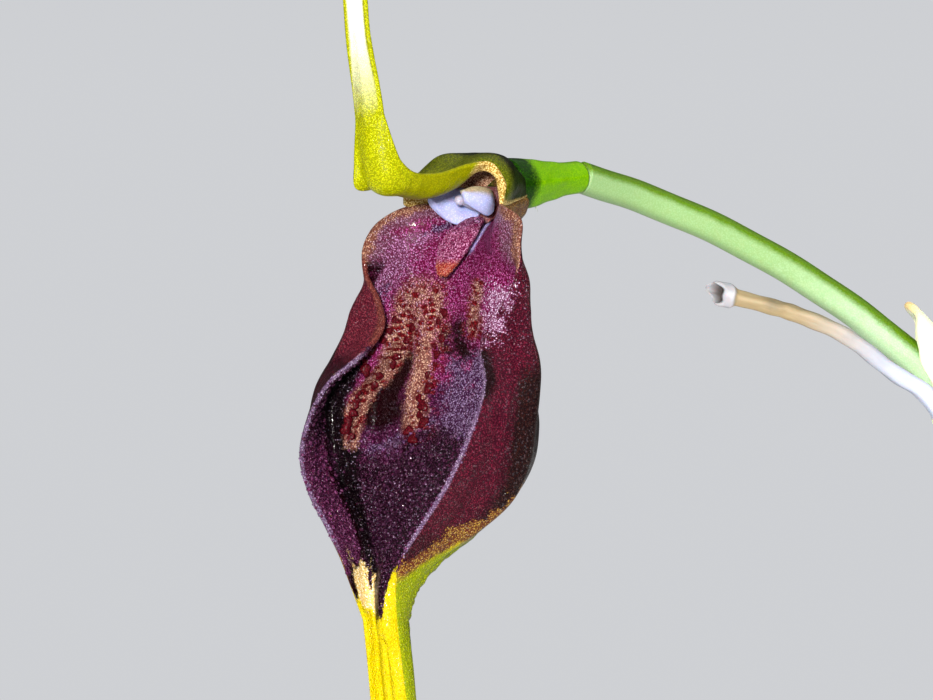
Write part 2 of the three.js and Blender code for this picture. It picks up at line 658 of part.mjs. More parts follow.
// The petals: two short pale blades beside the column.
// Each row runs from the petal's upper edge to its lower edge: R, F, D.
const PETAL_ROWS = [
  [[1.0, 0.5, -0.4], [1.1, 0.6, 0.1], [1.05, 0.7, 0.6]],
  [[1.5, 1.8, -0.6], [1.7, 1.9, 0.1], [1.5, 2.0, 1.0]],
  [[1.7, 3.4, -0.5], [1.95, 3.6, 0.6], [1.6, 3.7, 1.5]],
  [[1.6, 4.7, 0.3], [1.7, 4.6, 1.1], [1.45, 4.3, 1.8]],
];

function makePetals() {
  for (const [name, side] of [['petal_left', -1], ['petal_right', 1]]) {
    const guides = [0, 1, 2].map((j) =>
      PETAL_ROWS.map((row) => inFlower(side * row[j][0], row[j][1], row[j][2])),
    );
    if (side < 0) guides.reverse();
    addPiece(name, 'petal_white', thickSheet(surfaceThrough(guides, 8, 4), 0.6));
  }
}

// The lip: a small thick tongue hinged on the column's foot, hanging over the cup's plate.
function makeLip() {
  const spine = new THREE.CubicBezierCurve3(
    inFlower(0, 2.75, 1.75),
    inFlower(0, 4.0, 2.0),
    inFlower(0, 5.2, 3.4),
    inFlower(0, 6.35, 5.3),
  );
  const rings = framesAlong(spine, 10, RIGHTWARD).map(({ centre, side, face, t }) =>
    Array.from({ length: 10 }, (_, k) => {
      const angle = (k / 10) * TURN;
      const tip = Math.sqrt(clamp((1.02 - t) / 0.35, 0.05, 1));
      const width = lerp(0.55, 1.2, Math.min(1, t * 2.4)) * tip;
      return centre
        .clone()
        .addScaledVector(side, width * Math.cos(angle))
        .addScaledVector(face, lerp(0.35, 0.5, t) * Math.sin(angle) * Math.sqrt(tip));
    }),
  );
  addPiece('lip', 'lip_rose', loft(rings));
}

// The ovary: green, with six low wavy crests, between the flower and its stalk.
const OVARY_FLOWER_END = inFlower(0, -1.35, -0.6);
const OVARY_STALK_END = inFlower(0, -7.4, -1.2);

function makeOvary() {
  const axis = new THREE.LineCurve3(OVARY_FLOWER_END, OVARY_STALK_END);
  const crested = (t, angle) => {
    const crest = 0.5 + 0.5 * Math.cos(6 * angle);
    return lerp(1.55, 1.0, smoothstep(t, 0, 0.8)) + 0.22 * crest * Math.sin(Math.PI * t) ** 0.6;
  };
  addPiece('ovary', 'ovary_green', rod(axis, 9, 24, crested, RIGHTWARD));
}

// The flower's stalk arches from the ovary down to the top of the flower stem.
const stalkCurve = new THREE.CatmullRomCurve3(
  [
    [-7.4, -5.85, 363.4],
    [-3.4, -2.6, 362.2],
    [2.0, -0.6, 360.0],
    [7.4, 0.3, 357.05],
    [12.2, 0.6, 353.75],
    [16.4, 0.4, 350.0],
    [19.4, 0.2, 344.9],
  ].map((point) => new THREE.Vector3(...point)),
);

function makeStalk() {
  addPiece('flower_stalk', 'stalk_green', rod(stalkCurve, 24, 10, () => FLOWER_STALK_RADIUS));
}

// The bract wraps the stalk's foot. Its mouth is cut slantwise, its upper side is a hooded tip.
// Round the stalk from its top: angle in degrees, reach along the stalk, distance from its axis.
const BRACT_REACH = [
  [0, 10.6, 2.6],
  [25, 9.6, 2.5],
  [50, 8.6, 1.8],
  [85, 7.4, 1.65],
  [110, 5.2, 1.6],
  [150, 3.4, 1.6],
];
const BRACT_FOOT = 0.5;

function makeFlowerBract() {
  const length = stalkCurve.getLength();
  const halves = [-1, 1].map((side) => BRACT_REACH.map((entry) => ({ side, entry })));
  const around = [...halves[0].reverse(), ...halves[1].slice(1)];
  const rows = [0, 0.25, 0.5, 0.75, 1].map((share) =>
    around.map(({ side, entry: [degrees, reach, distance] }) => {
      const t = 1 - lerp(BRACT_FOOT, reach, share) / length;
      const centre = stalkCurve.getPointAt(t);
      const tangent = stalkCurve.getTangentAt(t);
      const back = new THREE.Vector3(0, 1, 0).addScaledVector(tangent, -tangent.y).normalize();
      const face = tangent.clone().cross(back);
      const angle = side * degToRad(degrees);
      const size = lerp(FLOWER_STALK_RADIUS + 0.65, distance, share);
      return centre
        .addScaledVector(face, size * Math.cos(angle))
        .addScaledVector(back, -size * Math.sin(angle));
    }),
  );
  addPiece('flower_bract', 'bract_pale', thickSheet(rows, 0.6));
}

// The dry stalk of an earlier flower, ending in a small torn cup.
const oldStalkCurve = new THREE.CatmullRomCurve3(
  [
    [1.75, 0.6, 355.9],
    [5.2, 0.3, 355.0],
    [7.3, 0.0, 354.35],
    [10.4, -0.8, 352.95],
    [13.4, -2.0, 350.6],
    [16.1, -3.0, 348.5],
    [18.4, -3.1, 343.6],
  ].map((point) => new THREE.Vector3(...point)),
);

function makeOldStalk() {
  const size = (t) => lerp(0.48, 0.64, t) + (t < 0.05 ? 0.12 : 0);
  addPiece('old_flower_stalk', 'dry_sheath', rod(oldStalkCurve, 22, 8, size));
}

makePot();
const leaves = leafPlan();
makeMix(leaves);
leaves.forEach((leaf, i) => {
  const number = String(i + 1).padStart(2, '0');
  makeLeaf(leaf, `leaf_${number}`);
  makeSheath(leaf, `sheath_${number}`);
});
makeScape();
STEM_BRACTS.forEach((t, i) => makeStemBract(t, `stem_bract_${i + 1}`));
makeHood();
makeCup();
makeLowerTails();
makeColumn();
makePetals();
makeLip();
makeOvary();
makeStalk();
makeFlowerBract();
makeOldStalk();

export default plant;
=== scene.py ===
"""A potted Masdevallia trochilus orchid in flower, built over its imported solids.

The tables are in millimetres, and new_piece turns them to Blender's metres. The flower has a
frame of its own: R to its right as one faces it, F the way it faces, D downward.
"""

import math

import bpy
import numpy as np
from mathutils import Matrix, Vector


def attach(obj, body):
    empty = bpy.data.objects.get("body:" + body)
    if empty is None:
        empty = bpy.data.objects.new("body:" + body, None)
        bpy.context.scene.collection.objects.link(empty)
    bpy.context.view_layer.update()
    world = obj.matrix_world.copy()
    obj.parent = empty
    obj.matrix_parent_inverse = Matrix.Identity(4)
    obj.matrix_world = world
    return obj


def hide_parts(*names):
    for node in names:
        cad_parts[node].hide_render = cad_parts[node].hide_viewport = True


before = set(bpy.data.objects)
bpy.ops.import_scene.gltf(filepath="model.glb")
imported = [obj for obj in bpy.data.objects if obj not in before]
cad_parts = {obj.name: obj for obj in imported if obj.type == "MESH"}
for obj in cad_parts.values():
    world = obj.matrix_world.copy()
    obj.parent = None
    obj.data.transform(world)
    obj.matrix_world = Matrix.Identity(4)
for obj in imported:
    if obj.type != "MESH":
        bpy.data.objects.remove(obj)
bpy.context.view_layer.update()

bl_info = {
    "name": "Potted Trochilus Orchid",
    "version": (1, 0, 0),
    "blender": (4, 5, 0),
    "location": "View3D > Sidebar > Orchid",
    "description": "A potted Masdevallia trochilus in flower, with its leaves, stem and clay pot",
    "category": "Add Mesh",
}

MM = 0.001
TURN = 2 * math.pi
UP = np.array([0.0, 0.0, 1.0])
BACK = np.array([0.0, 1.0, 0.0])

# The plant's driving places, the same as the solids have.
FLOWER_TURN = math.radians(40)
FLOWER_ORIGIN = np.array([-12.5, -12.0, 362.1])
FORWARD = np.array([-math.sin(FLOWER_TURN), -math.cos(FLOWER_TURN), 0.0])
RIGHTWARD = np.array([math.cos(FLOWER_TURN), -math.sin(FLOWER_TURN), 0.0])
POT_HEIGHT = 92.0
POT_TOP_RADIUS = 54.0
POT_BASE_RADIUS = 36.0
POT_WALL = 5.0
POT_FLOOR = 6.0
RIM_HEIGHT = 21.0
RIM_STEP = 3.5
UNDER_RIM = POT_HEIGHT - RIM_HEIGHT
MIX_LEVEL = 80.0
MIX_CROWN = 3.0
STEM_DEPTH = 16.0


# Colours and numbers.
def srgb(code):
    """A hex colour as Blender's linear red, green, blue and alpha."""
    parts = [int(code[i : i + 2], 16) / 255 for i in (1, 3, 5)]
    return tuple(c / 12.92 if c <= 0.04045 else ((c + 0.055) / 1.055) ** 2.4 for c in parts) + (1.0,)


def lerp(a, b, t):
    return a + (b - a) * t


def ramp(x, low, high):
    """Rises smoothly from 0 at low to 1 at high."""
    t = np.clip((np.asarray(x, float) - low) / (high - low), 0, 1)
    return t * t * (3 - 2 * t)


def span(x, start, full, fall, end):
    """Rises from 0 at start to 1 at full, and sinks again from fall to end."""
    return ramp(x, start, full) * ramp(x, end, fall)


def hump(x, centre, width):
    """1 at the centre, falling to 0 a few widths away."""
    return np.exp(-(((x - centre) / width) ** 2))


def most(*fields):
    """The greatest of several fields at each point."""
    return np.maximum.reduce(np.broadcast_arrays(*fields))


def ripples(x, y, z, seed, octaves=3):
    """Smooth irregular waves, about -1 to 1, from crossed sine waves."""
    total = 0.0
    for k in range(octaves):
        grow = 1.9**k
        turn = seed * 1.7 + k * 2.4
        total = total + (
            np.sin(grow * (x * 1.3 + y * 0.7) + turn) * np.sin(grow * (y * 1.1 - z * 0.9) + turn * 1.3)
            + np.sin(grow * (z * 1.2 + x * 0.5) + turn * 0.6) * 0.5
        ) / (1.5 * grow)
    return total


def seeded_random(seed):
    """The same fixed sequence of numbers that the solids' leaf plan draws from."""
    state = seed

    def draw():
        nonlocal state
        state = (state * 1664525 + 1013904223) % 4294967296
        return state / 4294967296

    return draw


# Curves and grids of points.
def spline(points, t):
    """Points at shares t along a smooth curve through points, which may be rows of points."""
    points = np.asarray(points, float)
    last = len(points) - 1
    place = np.clip(np.asarray(t, float), 0, 1) * last
    i = np.minimum(place.astype(int), last - 1)
    w = (place - i).reshape(-1, *[1] * (points.ndim - 1))
    line = np.concatenate([2 * points[:1] - points[1:2], points, 2 * points[-1:] - points[-2:-1]])
    a, b, c, d = line[i], line[i + 1], line[i + 2], line[i + 3]
    bent = (2 * a - 5 * b + 4 * c - d) * w**2 + (3 * b - a - 3 * c + d) * w**3
    return 0.5 * (2 * b + (c - a) * w + bent)


def bezier(ends, t):
    """Points at shares t along a cubic curve with four control points."""
    a, b, c, d = (np.asarray(p, float) for p in ends)
    t = np.asarray(t, float)[:, None]
    return a * (1 - t) ** 3 + 3 * b * t * (1 - t) ** 2 + 3 * c * t**2 * (1 - t) + d * t**3


def surface_through(guides, down, across):
    """A grid of points through guide lines: guides[g][k] is guide g at station k."""
    lines = spline(np.swapaxes(np.asarray(guides, float), 0, 1), down)
    return np.swapaxes(spline(np.swapaxes(lines, 0, 1), across), 0, 1)


def in_flower(r, f, d):
    """A place in the flower's own frame, or an array of them, in the plant's frame."""
    r, f, d = (np.asarray(v, float)[..., None] for v in (r, f, d))
    return FLOWER_ORIGIN + r * RIGHTWARD + f * FORWARD - d * UP


def unit(vectors):
    return vectors / np.maximum(np.linalg.norm(vectors, axis=-1, keepdims=True), 1e-12)


def turn_angles(count):
    """Angles evenly spaced round a full turn."""
    return np.linspace(0, TURN, count, endpoint=False)


def frames_along(centres, side_hint):
    """Tangents, level sides and facings along a line of centres."""
    tangents = unit(np.gradient(centres, axis=0))
    hint = np.broadcast_to(np.asarray(side_hint, float), tangents.shape)
    sides = unit(hint - tangents * np.sum(hint * tangents, axis=-1, keepdims=True))
    return tangents, sides, np.cross(tangents, sides)


def beside(centres, sides, across, faces, up):
    """A grid of points beside a line of centres: so far aside and so far up from each."""
    sides, faces = (np.broadcast_to(way, centres.shape)[:, None] for way in (sides, faces))
    return centres[:, None] + sides * across[..., None] + faces * up[..., None]


def grid_normals(grid):
    return unit(np.cross(np.gradient(grid, axis=0), np.gradient(grid, axis=1)))


def grid_quads(rows, columns, closed=False):
    """Four-cornered faces of a grid of points, closed round its columns if asked."""
    i = np.arange(rows - 1)[:, None]
    j = np.arange(columns if closed else columns - 1)[None, :]
    right = (j + 1) % columns
    corners = [i * columns + j, (i + 1) * columns + j, (i + 1) * columns + right, i * columns + right]
    return np.stack(np.broadcast_arrays(*corners), axis=-1).reshape(-1, 4)


def rounded(distance, half):
    """How much of its thickness a sheet keeps this far from its edge, for a round edge."""
    return np.sqrt(1 - np.clip(1 - distance / half, 0, 1) ** 2)


def lengths_along(grid, axis):
    """How far each point of a grid lies from the first one along an axis."""
    steps = np.linalg.norm(np.diff(grid, axis=axis), axis=-1)
    start = np.zeros_like(np.take(steps, [0], axis=axis))
    return np.cumsum(np.concatenate([start, steps], axis=axis), axis=axis)


def edge_shares(count, edge):
    """Shares from 0 to 1, closer together near both ends, where an edge is rounded."""
    close = edge * np.array([0, 0.08, 0.22, 0.4, 0.65])
    return np.concatenate([close, np.linspace(edge, 1 - edge, count), 1 - close[::-1]])


def round_edges(grid, half, sides="tblr"):
    """The share of its thickness that each point of a sheet keeps, by its distance from the top,
    bottom, left and right edges."""
    down, across = lengths_along(grid, 0), lengths_along(grid, 1)
    distance = {"t": down, "b": down[-1:] - down, "l": across, "r": across[:, -1:] - across}
    return math.prod(rounded(distance[side], half) for side in sides)


# Skins, each a list of points and a list of faces.
def sheet_skin(grid, half, keep, relief=0.0):
    """A closed sheet round a grid, raised by relief on its front."""
    normals = grid_normals(grid)
    thick = (half * keep)[..., None]
    raised = (relief * keep)[..., None] if np.ndim(relief) else 0.0
    quads = grid_quads(*grid.shape[:2])
    front = (grid + normals * (thick + raised)).reshape(-1, 3)
    back = (grid - normals * thick).reshape(-1, 3)
    return join_skins((front, quads), (back, quads[:, ::-1]))


def both_faces(field):
    """A field of a sheet's grid, for its front and its back."""
    return np.broadcast_to(field, (2, *field.shape))


def tube_skin(rings):
    """A closed skin through rings of points, with a point at each end."""
    count, around = rings.shape[:2]
    quads = grid_quads(count, around, closed=True)[:, ::-1]
    points = np.concatenate([rings.reshape(-1, 3), rings[0].mean(0)[None], rings[-1].mean(0)[None]])
    k = np.arange(around)
    following = (k + 1) % around
    end = count * around
    last = end - around
    first_cap = np.stack([np.full(around, end), following, k], axis=-1)
    last_cap = np.stack([np.full(around, end + 1), last + k, last + following], axis=-1)
    return points, [*quads.tolist(), *first_cap.tolist(), *last_cap.tolist()]


def join_skins(*skins):
    """Several skins as one."""
    faces, start = [], 0
    for points, skin in skins:
        faces += [[v + start for v in face] for face in skin]
        start += len(points)
    return np.concatenate([points for points, _ in skins]), faces


def rod(centres, radius, around, side_hint=BACK):
    """Rings round a line of centres. radius(t, angle) gives the size, so ribs are a formula."""
    _, sides, faces = frames_along(centres, side_hint)
    t = np.linspace(0, 1, len(centres))[:, None]
    angle = turn_angles(around)
    size = np.broadcast_to(radius(t, angle), (len(centres), around))
    return beside(centres, sides, size * np.cos(angle), faces, size * np.sin(angle))


# Pieces.
VECTOR_FIELDS = ("sheet", "facing")


def placed(name, data):
    """A new object with this data, in the scene."""
    made = bpy.data.objects.new(name, data)
    bpy.context.scene.collection.objects.link(made)
    return made


def new_piece(name, skin, **fields):
    """A smooth mesh object from a skin in millimetres, with number or vector fields per point."""
    points, faces = skin
    # Adding zero turns -0.0 into 0.0, which np.unique would keep apart from it.
    points = np.asarray(points, float) + 0.0
    _, first, where = np.unique(np.round(points, 5), axis=0, return_index=True, return_inverse=True)
    where = where.reshape(-1).tolist()
    clean = []
    for face in faces:
        loop = [where[v] for v in face]
        kept = [v for k, v in enumerate(loop) if v != loop[k - 1]]
        if len(kept) > 2:
            clean.append(kept)
    mesh = bpy.data.meshes.new(name)
    mesh.from_pydata((points[first] * MM).tolist(), [], clean)
    for key, values in fields.items():
        kind, entry, width = ("FLOAT_VECTOR", "vector", 3) if key in VECTOR_FIELDS else ("FLOAT", "value", 1)
        values = np.asarray(values, np.float32).reshape(-1, width)[first]
        mesh.attributes.new(key, kind, "POINT").data.foreach_set(entry, values.ravel())
    mesh.validate()
    mesh.shade_smooth()
    return placed(name, mesh)


def finish_piece(piece, material, slot, *nodes):
    """Gives a piece its material, says what it rides on, and hides the solids that it stands for."""
    piece.data.materials.clear()
    piece.data.materials.append(material)
    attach(piece, "root")
    if nodes:
        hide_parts(*nodes)


def evaluated_mesh(piece, name):
    """The piece's mesh with its modifiers applied, as a new plain object in place of the piece."""
    graph = bpy.context.evaluated_depsgraph_get()
    mesh = bpy.data.meshes.new_from_object(piece.evaluated_get(graph), depsgraph=graph)
    mesh.name = name
    mesh.shade_smooth()
    return placed(name, mesh)


def discard(*pieces):
    """Removes helper objects and their meshes."""
    for piece in pieces:
        mesh = piece.data
        bpy.data.objects.remove(piece)
        bpy.data.meshes.remove(mesh)


# Kinds of node by their short names: Blender's name, the output that is used, the settings, and
# the inputs that a call's values fill in turn.
KINDS = {
    "place": ("ShaderNodeTexCoord", "Object", {}, ()),
    "field": ("ShaderNodeAttribute", "Fac", {}, ()),
    "sheet": ("ShaderNodeAttribute", "Vector", {"attribute_name": "sheet"}, ()),
    "stretch": ("ShaderNodeMapping", 0, {}, ("Vector", "Scale")),
    "parts": ("ShaderNodeSeparateXYZ", 0, {}, (0,)),
    "colour parts": ("ShaderNodeSeparateColor", 0, {}, (0,)),
    "noise": ("ShaderNodeTexNoise", 0, {}, ("Vector", "Scale", "Detail")),
    "cells": ("ShaderNodeTexVoronoi", "Distance", {}, ("Vector", "Scale", "Randomness")),
    "range": ("ShaderNodeMapRange", 0, {}, (0, 1, 2, 3, 4)),
    "times": ("ShaderNodeMath", 0, {"operation": "MULTIPLY"}, (0, 1)),
    "times plus": ("ShaderNodeMath", 0, {"operation": "MULTIPLY_ADD"}, (0, 1, 2)),
    "without sign": ("ShaderNodeMath", 0, {"operation": "ABSOLUTE"}, (0,)),
    "vector": ("ShaderNodeVectorMath", 0, {}, (0, 1, 2)),
    "mix": ("ShaderNodeMix", 2, {"data_type": "RGBA"}, (0, 6, 7)),
    "tone": ("ShaderNodeHueSaturation", 0, {}, ("Color", "Value")),
    "bump": ("ShaderNodeBump", 0, {}, ("Height", "Strength", "Distance", "Normal")),
    "point field": ("GeometryNodeInputNamedAttribute", 0, {}, ("Name",)),
    "switch": ("GeometryNodeSwitch", 0, {}, (0, 1, 2)),
    "random size": ("FunctionNodeRandomValue", 1, {"data_type": "FLOAT"}, (2, 3, "Seed")),
    "random turn": ("FunctionNodeRandomValue", 0, {"data_type": "FLOAT_VECTOR"}, (0, 1, "Seed")),
}


def feed(tree, node, inputs):
    """Sets a node's inputs, or links those that are given a socket. A hex code is a colour."""
    for key, value in inputs.items():
        if isinstance(value, bpy.types.NodeSocket):
            tree.links.new(value, node.inputs[key])
        else:
            colour = isinstance(value, str) and value.startswith("#")
            node.inputs[key].default_value = srgb(value) if colour else value


def add(tree, kind, *values, **settings):
    """Adds one node and returns its main output. values fill the kind's inputs in turn, and one
    that is a dictionary names its own."""
    kind, output, preset, order = KINDS.get(kind, (kind, 0, {}, ()))
    node = tree.nodes.new(kind)
    for key, value in {**preset, **settings}.items():
        setattr(node, key, value)
    named = [value for value in values if isinstance(value, dict)]
    feed(tree, node, named[0] if named else dict(zip(order, values)))
    return node.outputs[output] if node.outputs else None


def new_material(name, **inputs):
    """An empty material with its shader, whose constant values sit on the shader itself."""
    material = bpy.data.materials.new(name)
    material.use_nodes = True
    tree = material.node_tree
    tree.nodes.clear()
    values = {key.replace("_", " "): value for key, value in inputs.items()}
    surface = add(tree, "ShaderNodeBsdfPrincipled", values)
    add(tree, "ShaderNodeOutputMaterial", {"Surface": surface})
    return material, tree, surface.node


# Small shapes that are stood on a surface in great number.
COPY_INPUTS = {
    "Surface": "Geometry",
    "Shape": "Object",
    "On Points": "Bool",
    "Spacing": "Float",
    "Density": "Float",
    "Smallest": "Float",
    "Largest": "Float",
    "Lean": "Float",
    "Seed": "Int",
    "Material": "Material",
}


def copies_tree(name):
    """Geometry Nodes that stand copies of a small shape on a surface, or on its points alone.

    On a surface, the field density says where, and Spacing keeps the copies apart. On single
    points, the field facing says which way each copy stands.
    """
    tree = bpy.data.node_groups.new(name, "GeometryNodeTree")
    for title, kind in COPY_INPUTS.items():
        tree.interface.new_socket(title, in_out="INPUT", socket_type="NodeSocket" + kind)
    tree.interface.new_socket("Copies", in_out="OUTPUT", socket_type="NodeSocketGeometry")
    given = add(tree, "NodeGroupInput").node.outputs
    spread = add(
        tree,
        "GeometryNodeDistributePointsOnFaces",
        {
            "Mesh": given["Surface"],
            "Distance Min": given["Spacing"],
            "Density Max": given["Density"],
            "Density Factor": add(tree, "point field", "density", data_type="FLOAT"),
            "Seed": given["Seed"],
        },
        distribute_method="POISSON",
    ).node.outputs
    facing = add(tree, "point field", "facing", data_type="FLOAT_VECTOR")
    upright = add(tree, "FunctionNodeAlignRotationToVector", {"Vector": facing}, axis="Z")
    single, points = given["On Points"], given["Surface"]
    places = add(tree, "switch", single, spread["Points"], points, input_type="GEOMETRY")
    stance = add(tree, "switch", single, spread["Rotation"], upright, input_type="ROTATION")
    size = add(tree, "random size", given["Smallest"], given["Largest"], given["Seed"])
    low, high = (
        add(tree, "vector", {0: way, "Scale": given["Lean"]}, operation="SCALE")
        for way in ((-1.0, -1.0, 0.0), (1.0, 1.0, 0.0))
    )
    high = add(tree, "vector", high, (0.0, 0.0, TURN), operation="ADD")
    turn = add(tree, "random turn", low, high, given["Seed"])
    turned = add(
        tree, "FunctionNodeRotateRotation", {"Rotation": stance, "Rotate By": turn}, rotation_space="LOCAL"
    )
    shape = add(tree, "GeometryNodeObjectInfo", {"Object": given["Shape"]}).node.outputs["Geometry"]
    links = {"Points": places, "Instance": shape, "Rotation": turned, "Scale": size}
    copies = add(tree, "GeometryNodeInstanceOnPoints", links)
    real = add(tree, "GeometryNodeRealizeInstances", {"Geometry": copies})
    made = add(tree, "GeometryNodeSetMaterial", {"Geometry": real, "Material": given["Material"]})
    add(tree, "NodeGroupOutput", {0: made})
    return tree


def scatter(name, surface, shape, material, slot, spacing, sizes, lean, seed, single=False):
    """Copies of a shape over a surface, or on its points alone, as one plain finished mesh."""
    tree = bpy.data.node_groups.get("copies") or copies_tree("copies")
    modifier = surface.modifiers.new("copies", "NODES")
    modifier.node_group = tree
    values = {
        "Shape": shape,
        "On Points": single,
        "Spacing": spacing * MM,
        "Density": 1.2 / (spacing * MM) ** 2,
        "Smallest": sizes[0],
        "Largest": sizes[1],
        "Lean": lean,
        "Seed": seed,
        "Material": material,
    }
    for item in tree.interface.items_tree:
        if item.name in values:
            modifier[item.identifier] = values[item.name]
    made = evaluated_mesh(surface, name)
    surface.modifiers.remove(modifier)
    finish_piece(made, material, slot)


def bead_shape(name, squash=1.0, around=6, uneven=0.0):
    """A small round bead of radius 1 mm, whose middle lies at its own origin."""
    levels = [(0.82, -0.55), (1.0, 0.1), (0.72, 0.7)] if around > 5 else [(0.95, -0.3), (0.8, 0.5)]
    angle = turn_angles(around)
    reach = 1 + uneven * (np.sin(3 * angle + 1) + 0.7 * np.cos(2 * angle))
    x, y = reach * np.cos(angle), reach * np.sin(angle)
    rings = [np.stack([r * x, r * y, 0 * x + z * squash], axis=-1) for r, z in levels]
    points, faces = tube_skin(np.array(rings))
    points[-2:] = [(0, 0, -squash), (0, 0, squash)]
    return new_piece(name, (points, faces))


# The flower's living tissue. Its cells are drawn about 0.11 mm apart, half as much again as they
# are, to show at all.
CELL_WIDTH = 0.11


def flower_tissue(
    name, base, layers=(), spots=(), roughness=0.3, bump=0.8, swell=0.5, even=0.1, coat=0.1, glow=0.08
):
    """Waxy living petal tissue, grown: light passes just under its skin, and the skin is a crowd
    of tiny rounded cells, dark between and pale on top, which glisten one by one. The pale tops
    are partly the cells' own colour and partly painted highlight. Some cells have a real wet coat,
    and a pale spark is painted on those as a highlight.

    base and spots are the colours between the cells and on them. layers are laid over the base in
    turn: field, colour between the cells, colour on the cells, how ragged its border is.
    """
    material, tree, shader = new_material(
        name,
        Roughness=roughness,
        IOR=1.42,
        Specular_IOR_Level=0.08,
        Subsurface_Weight=glow,
        Subsurface_Radius=(1.0, 0.35, 0.25),
        Subsurface_Scale=0.4 * MM,
        Coat_Roughness=0.12,
    )
    place = add(tree, "place")
    broad = add(tree, "noise", place, 1.1 / MM, 4.0)
    cells = add(tree, "cells", place, 1 / (CELL_WIDTH * MM))
    lot = add(tree, "colour parts", cells.node.outputs["Color"]).node.outputs
    stray = add(tree, "times plus", broad, 1.5, add(tree, "times plus", lot[0], 0.5, -1.0))
    colours = [srgb(code) for code in base]
    for field, *codes, ragged in layers:
        moved = add(tree, "times plus", stray, ragged, add(tree, "field", attribute_name=field))
        soft = 0.5 * (1 - ragged)
        edge = add(tree, "range", moved, 0.5 - soft, 0.5 + soft)
        colours = [add(tree, "mix", edge, was, code) for was, code in zip(colours, codes)]
    if spots:
        bent = add(tree, "noise", place, 2.4 / MM, 2.0).node.outputs["Color"]
        shifted = add(tree, "vector", bent, (0.9, 0.9, 0.0), add(tree, "sheet"), operation="MULTIPLY_ADD")
        dash = add(tree, "range", add(tree, "cells", shifted, 1.0, 0.7), 0.52, 0.42)
        dash = add(tree, "times", dash, add(tree, "field", attribute_name="spotted"), use_clamp=True)
        colours = [add(tree, "mix", dash, was, code) for was, code in zip(colours, spots)]
    # Partly painted highlight: each cell's cap is laid on paler than the gap round it.
    cap = add(tree, "range", cells, 0.58, 0.3)
    lit = add(tree, "range", lot[1], 0.0, 1.0, even, 1.15)
    colour = add(tree, "mix", add(tree, "times", lit, cap), *colours)
    # One cell in ten has a wet cap, a real clear coat, and a pale spark is painted into its colour
    # as a highlight where the sparkle field asks for one.
    wet = add(tree, "range", lot[2], 0.86, 0.92, 0.15 * coat, 1.8 * coat)
    painted_spark = add(tree, "range", lot[2], 0.88, 0.93, 0.0, add(tree, "field", attribute_name="sparkle"))
    colour = add(tree, "mix", add(tree, "times", painted_spark, cap), colour, "#bca4c8")
    domes = add(tree, "bump", add(tree, "range", cells, 0.6, 0.05), bump, 0.07 * MM)
    relief = add(tree, "bump", broad, swell, 0.25 * MM, domes)
    inputs = {"Base Color": colour, "Coat Weight": wet, "Normal": relief, "Coat Normal": relief}
    feed(tree, shader, inputs)
    return material


# The joined lateral sepals, from the tube's foot down to the fork of the two tails.
# keel: F, D. floor: half width, F. belly: half width, F. rim: half width, F, D.
CUP_STATIONS = [
    ((-1.0, 1.2), (0.7, -1.0), (1.1, -1.0), (1.2, -1.0, 0.0)),
    ((1.2, 2.2), (1.5, 1.3), (2.2, 1.6), (2.5, 1.9, 0.5)),
    ((2.7, 2.9), (2.1, 3.0), (3.4, 4.0), (3.85, 5.0, 0.8)),
    ((3.6, 3.9), (2.6, 4.1), (4.6, 5.0), (6.2, 5.4, 1.75)),
    ((4.2, 5.2), (3.0, 4.6), (5.2, 5.0), (6.6, 6.0, 3.3)),
    ((4.5, 6.8), (3.4, 4.8), (6.3, 4.7), (6.3, 6.0, 4.9)),
    ((4.4, 8.4), (3.9, 4.7), (7.4, 5.9), (5.2, 6.3, 6.8)),
    ((4.2, 10.0), (4.6, 4.6), (7.8, 6.7), (4.2, 7.3, 8.6)),
    ((4.2, 11.6), (5.4, 4.7), (8.4, 7.1), (4.8, 8.6, 10.3)),
    ((4.4, 13.3), (6.0, 4.9), (8.8, 7.4), (6.3, 9.9, 12.2)),
    ((5.0, 15.2), (6.4, 5.0), (8.9, 7.7), (6.8, 11.2, 14.4)),
    ((6.2, 17.2), (6.4, 5.6), (8.6, 7.9), (6.5, 12.4, 16.8)),
    ((7.8, 19.2), (5.5, 6.6), (7.5, 8.3), (5.4, 12.9, 19.1)),
    ((9.4, 21.2), (3.9, 8.0), (5.5, 9.2), (4.0, 13.1, 21.2)),
    ((10.9, 23.2), (2.4, 9.8), (3.5, 10.6), (2.7, 13.1, 23.2)),
    ((11.9, 25.2), (1.3, 11.1), (2.1, 11.6), (1.9, 12.9, 25.2)),
    ((12.0, 27.2), (0.8, 11.4), (1.4, 11.6), (1.4, 12.4, 27.2)),
]
# How much wider or narrower than that the flower's left and right halves are, station by station.
LEFT_WIDTHS = [1, 1, 1, 1, 1.06, 1.1, 1.02, 0.97, 0.97, 1.03, 1.03, 1.03, 1.03, 1, 1, 1, 1]
RIGHT_WIDTHS = [1, 1, 1, 0.93, 0.94, 0.96, 1, 1.05, 1.05, 1.02, 1, 1, 1, 0.96, 0.88, 0.92, 1]
SEAM_GAP = -0.05
SEAM_STATIONS = 3
BELLY_SHARE = 0.5
FLOOR_SHARE = 0.15
RIGHT_FULLNESS = 0.88
FORK_SPREAD = 0.95
FORK_DEPTH = 28.6
WART_SEED = 17

# Ridges and hollows of the cup's left half: how far down, and how far across from the keel to
# the rim. The outer and inner ridges carry warts, and the side groove is the cup's deepest fold.
OUTER_RIDGE = (
    [6.5, 8.0, 8.8, 10.1, 11.3, 13.0, 14.7, 16.3, 18.0],
    [0.36, 0.40, 0.42, 0.44, 0.47, 0.50, 0.51, 0.51, 0.50],
)
INNER_RIDGE = (
    [5.5, 7.0, 8.2, 9.8, 10.7, 12.1, 13.3, 14.7, 15.9],
    [0.34, 0.28, 0.22, 0.22, 0.20, 0.19, 0.18, 0.16, 0.15],
)
SIDE_GROOVE = ([8.0, 13.0, 17.9, 20.0, 22.3, 24.7], [0.55, 0.60, 0.56, 0.50, 0.41, 0.18])
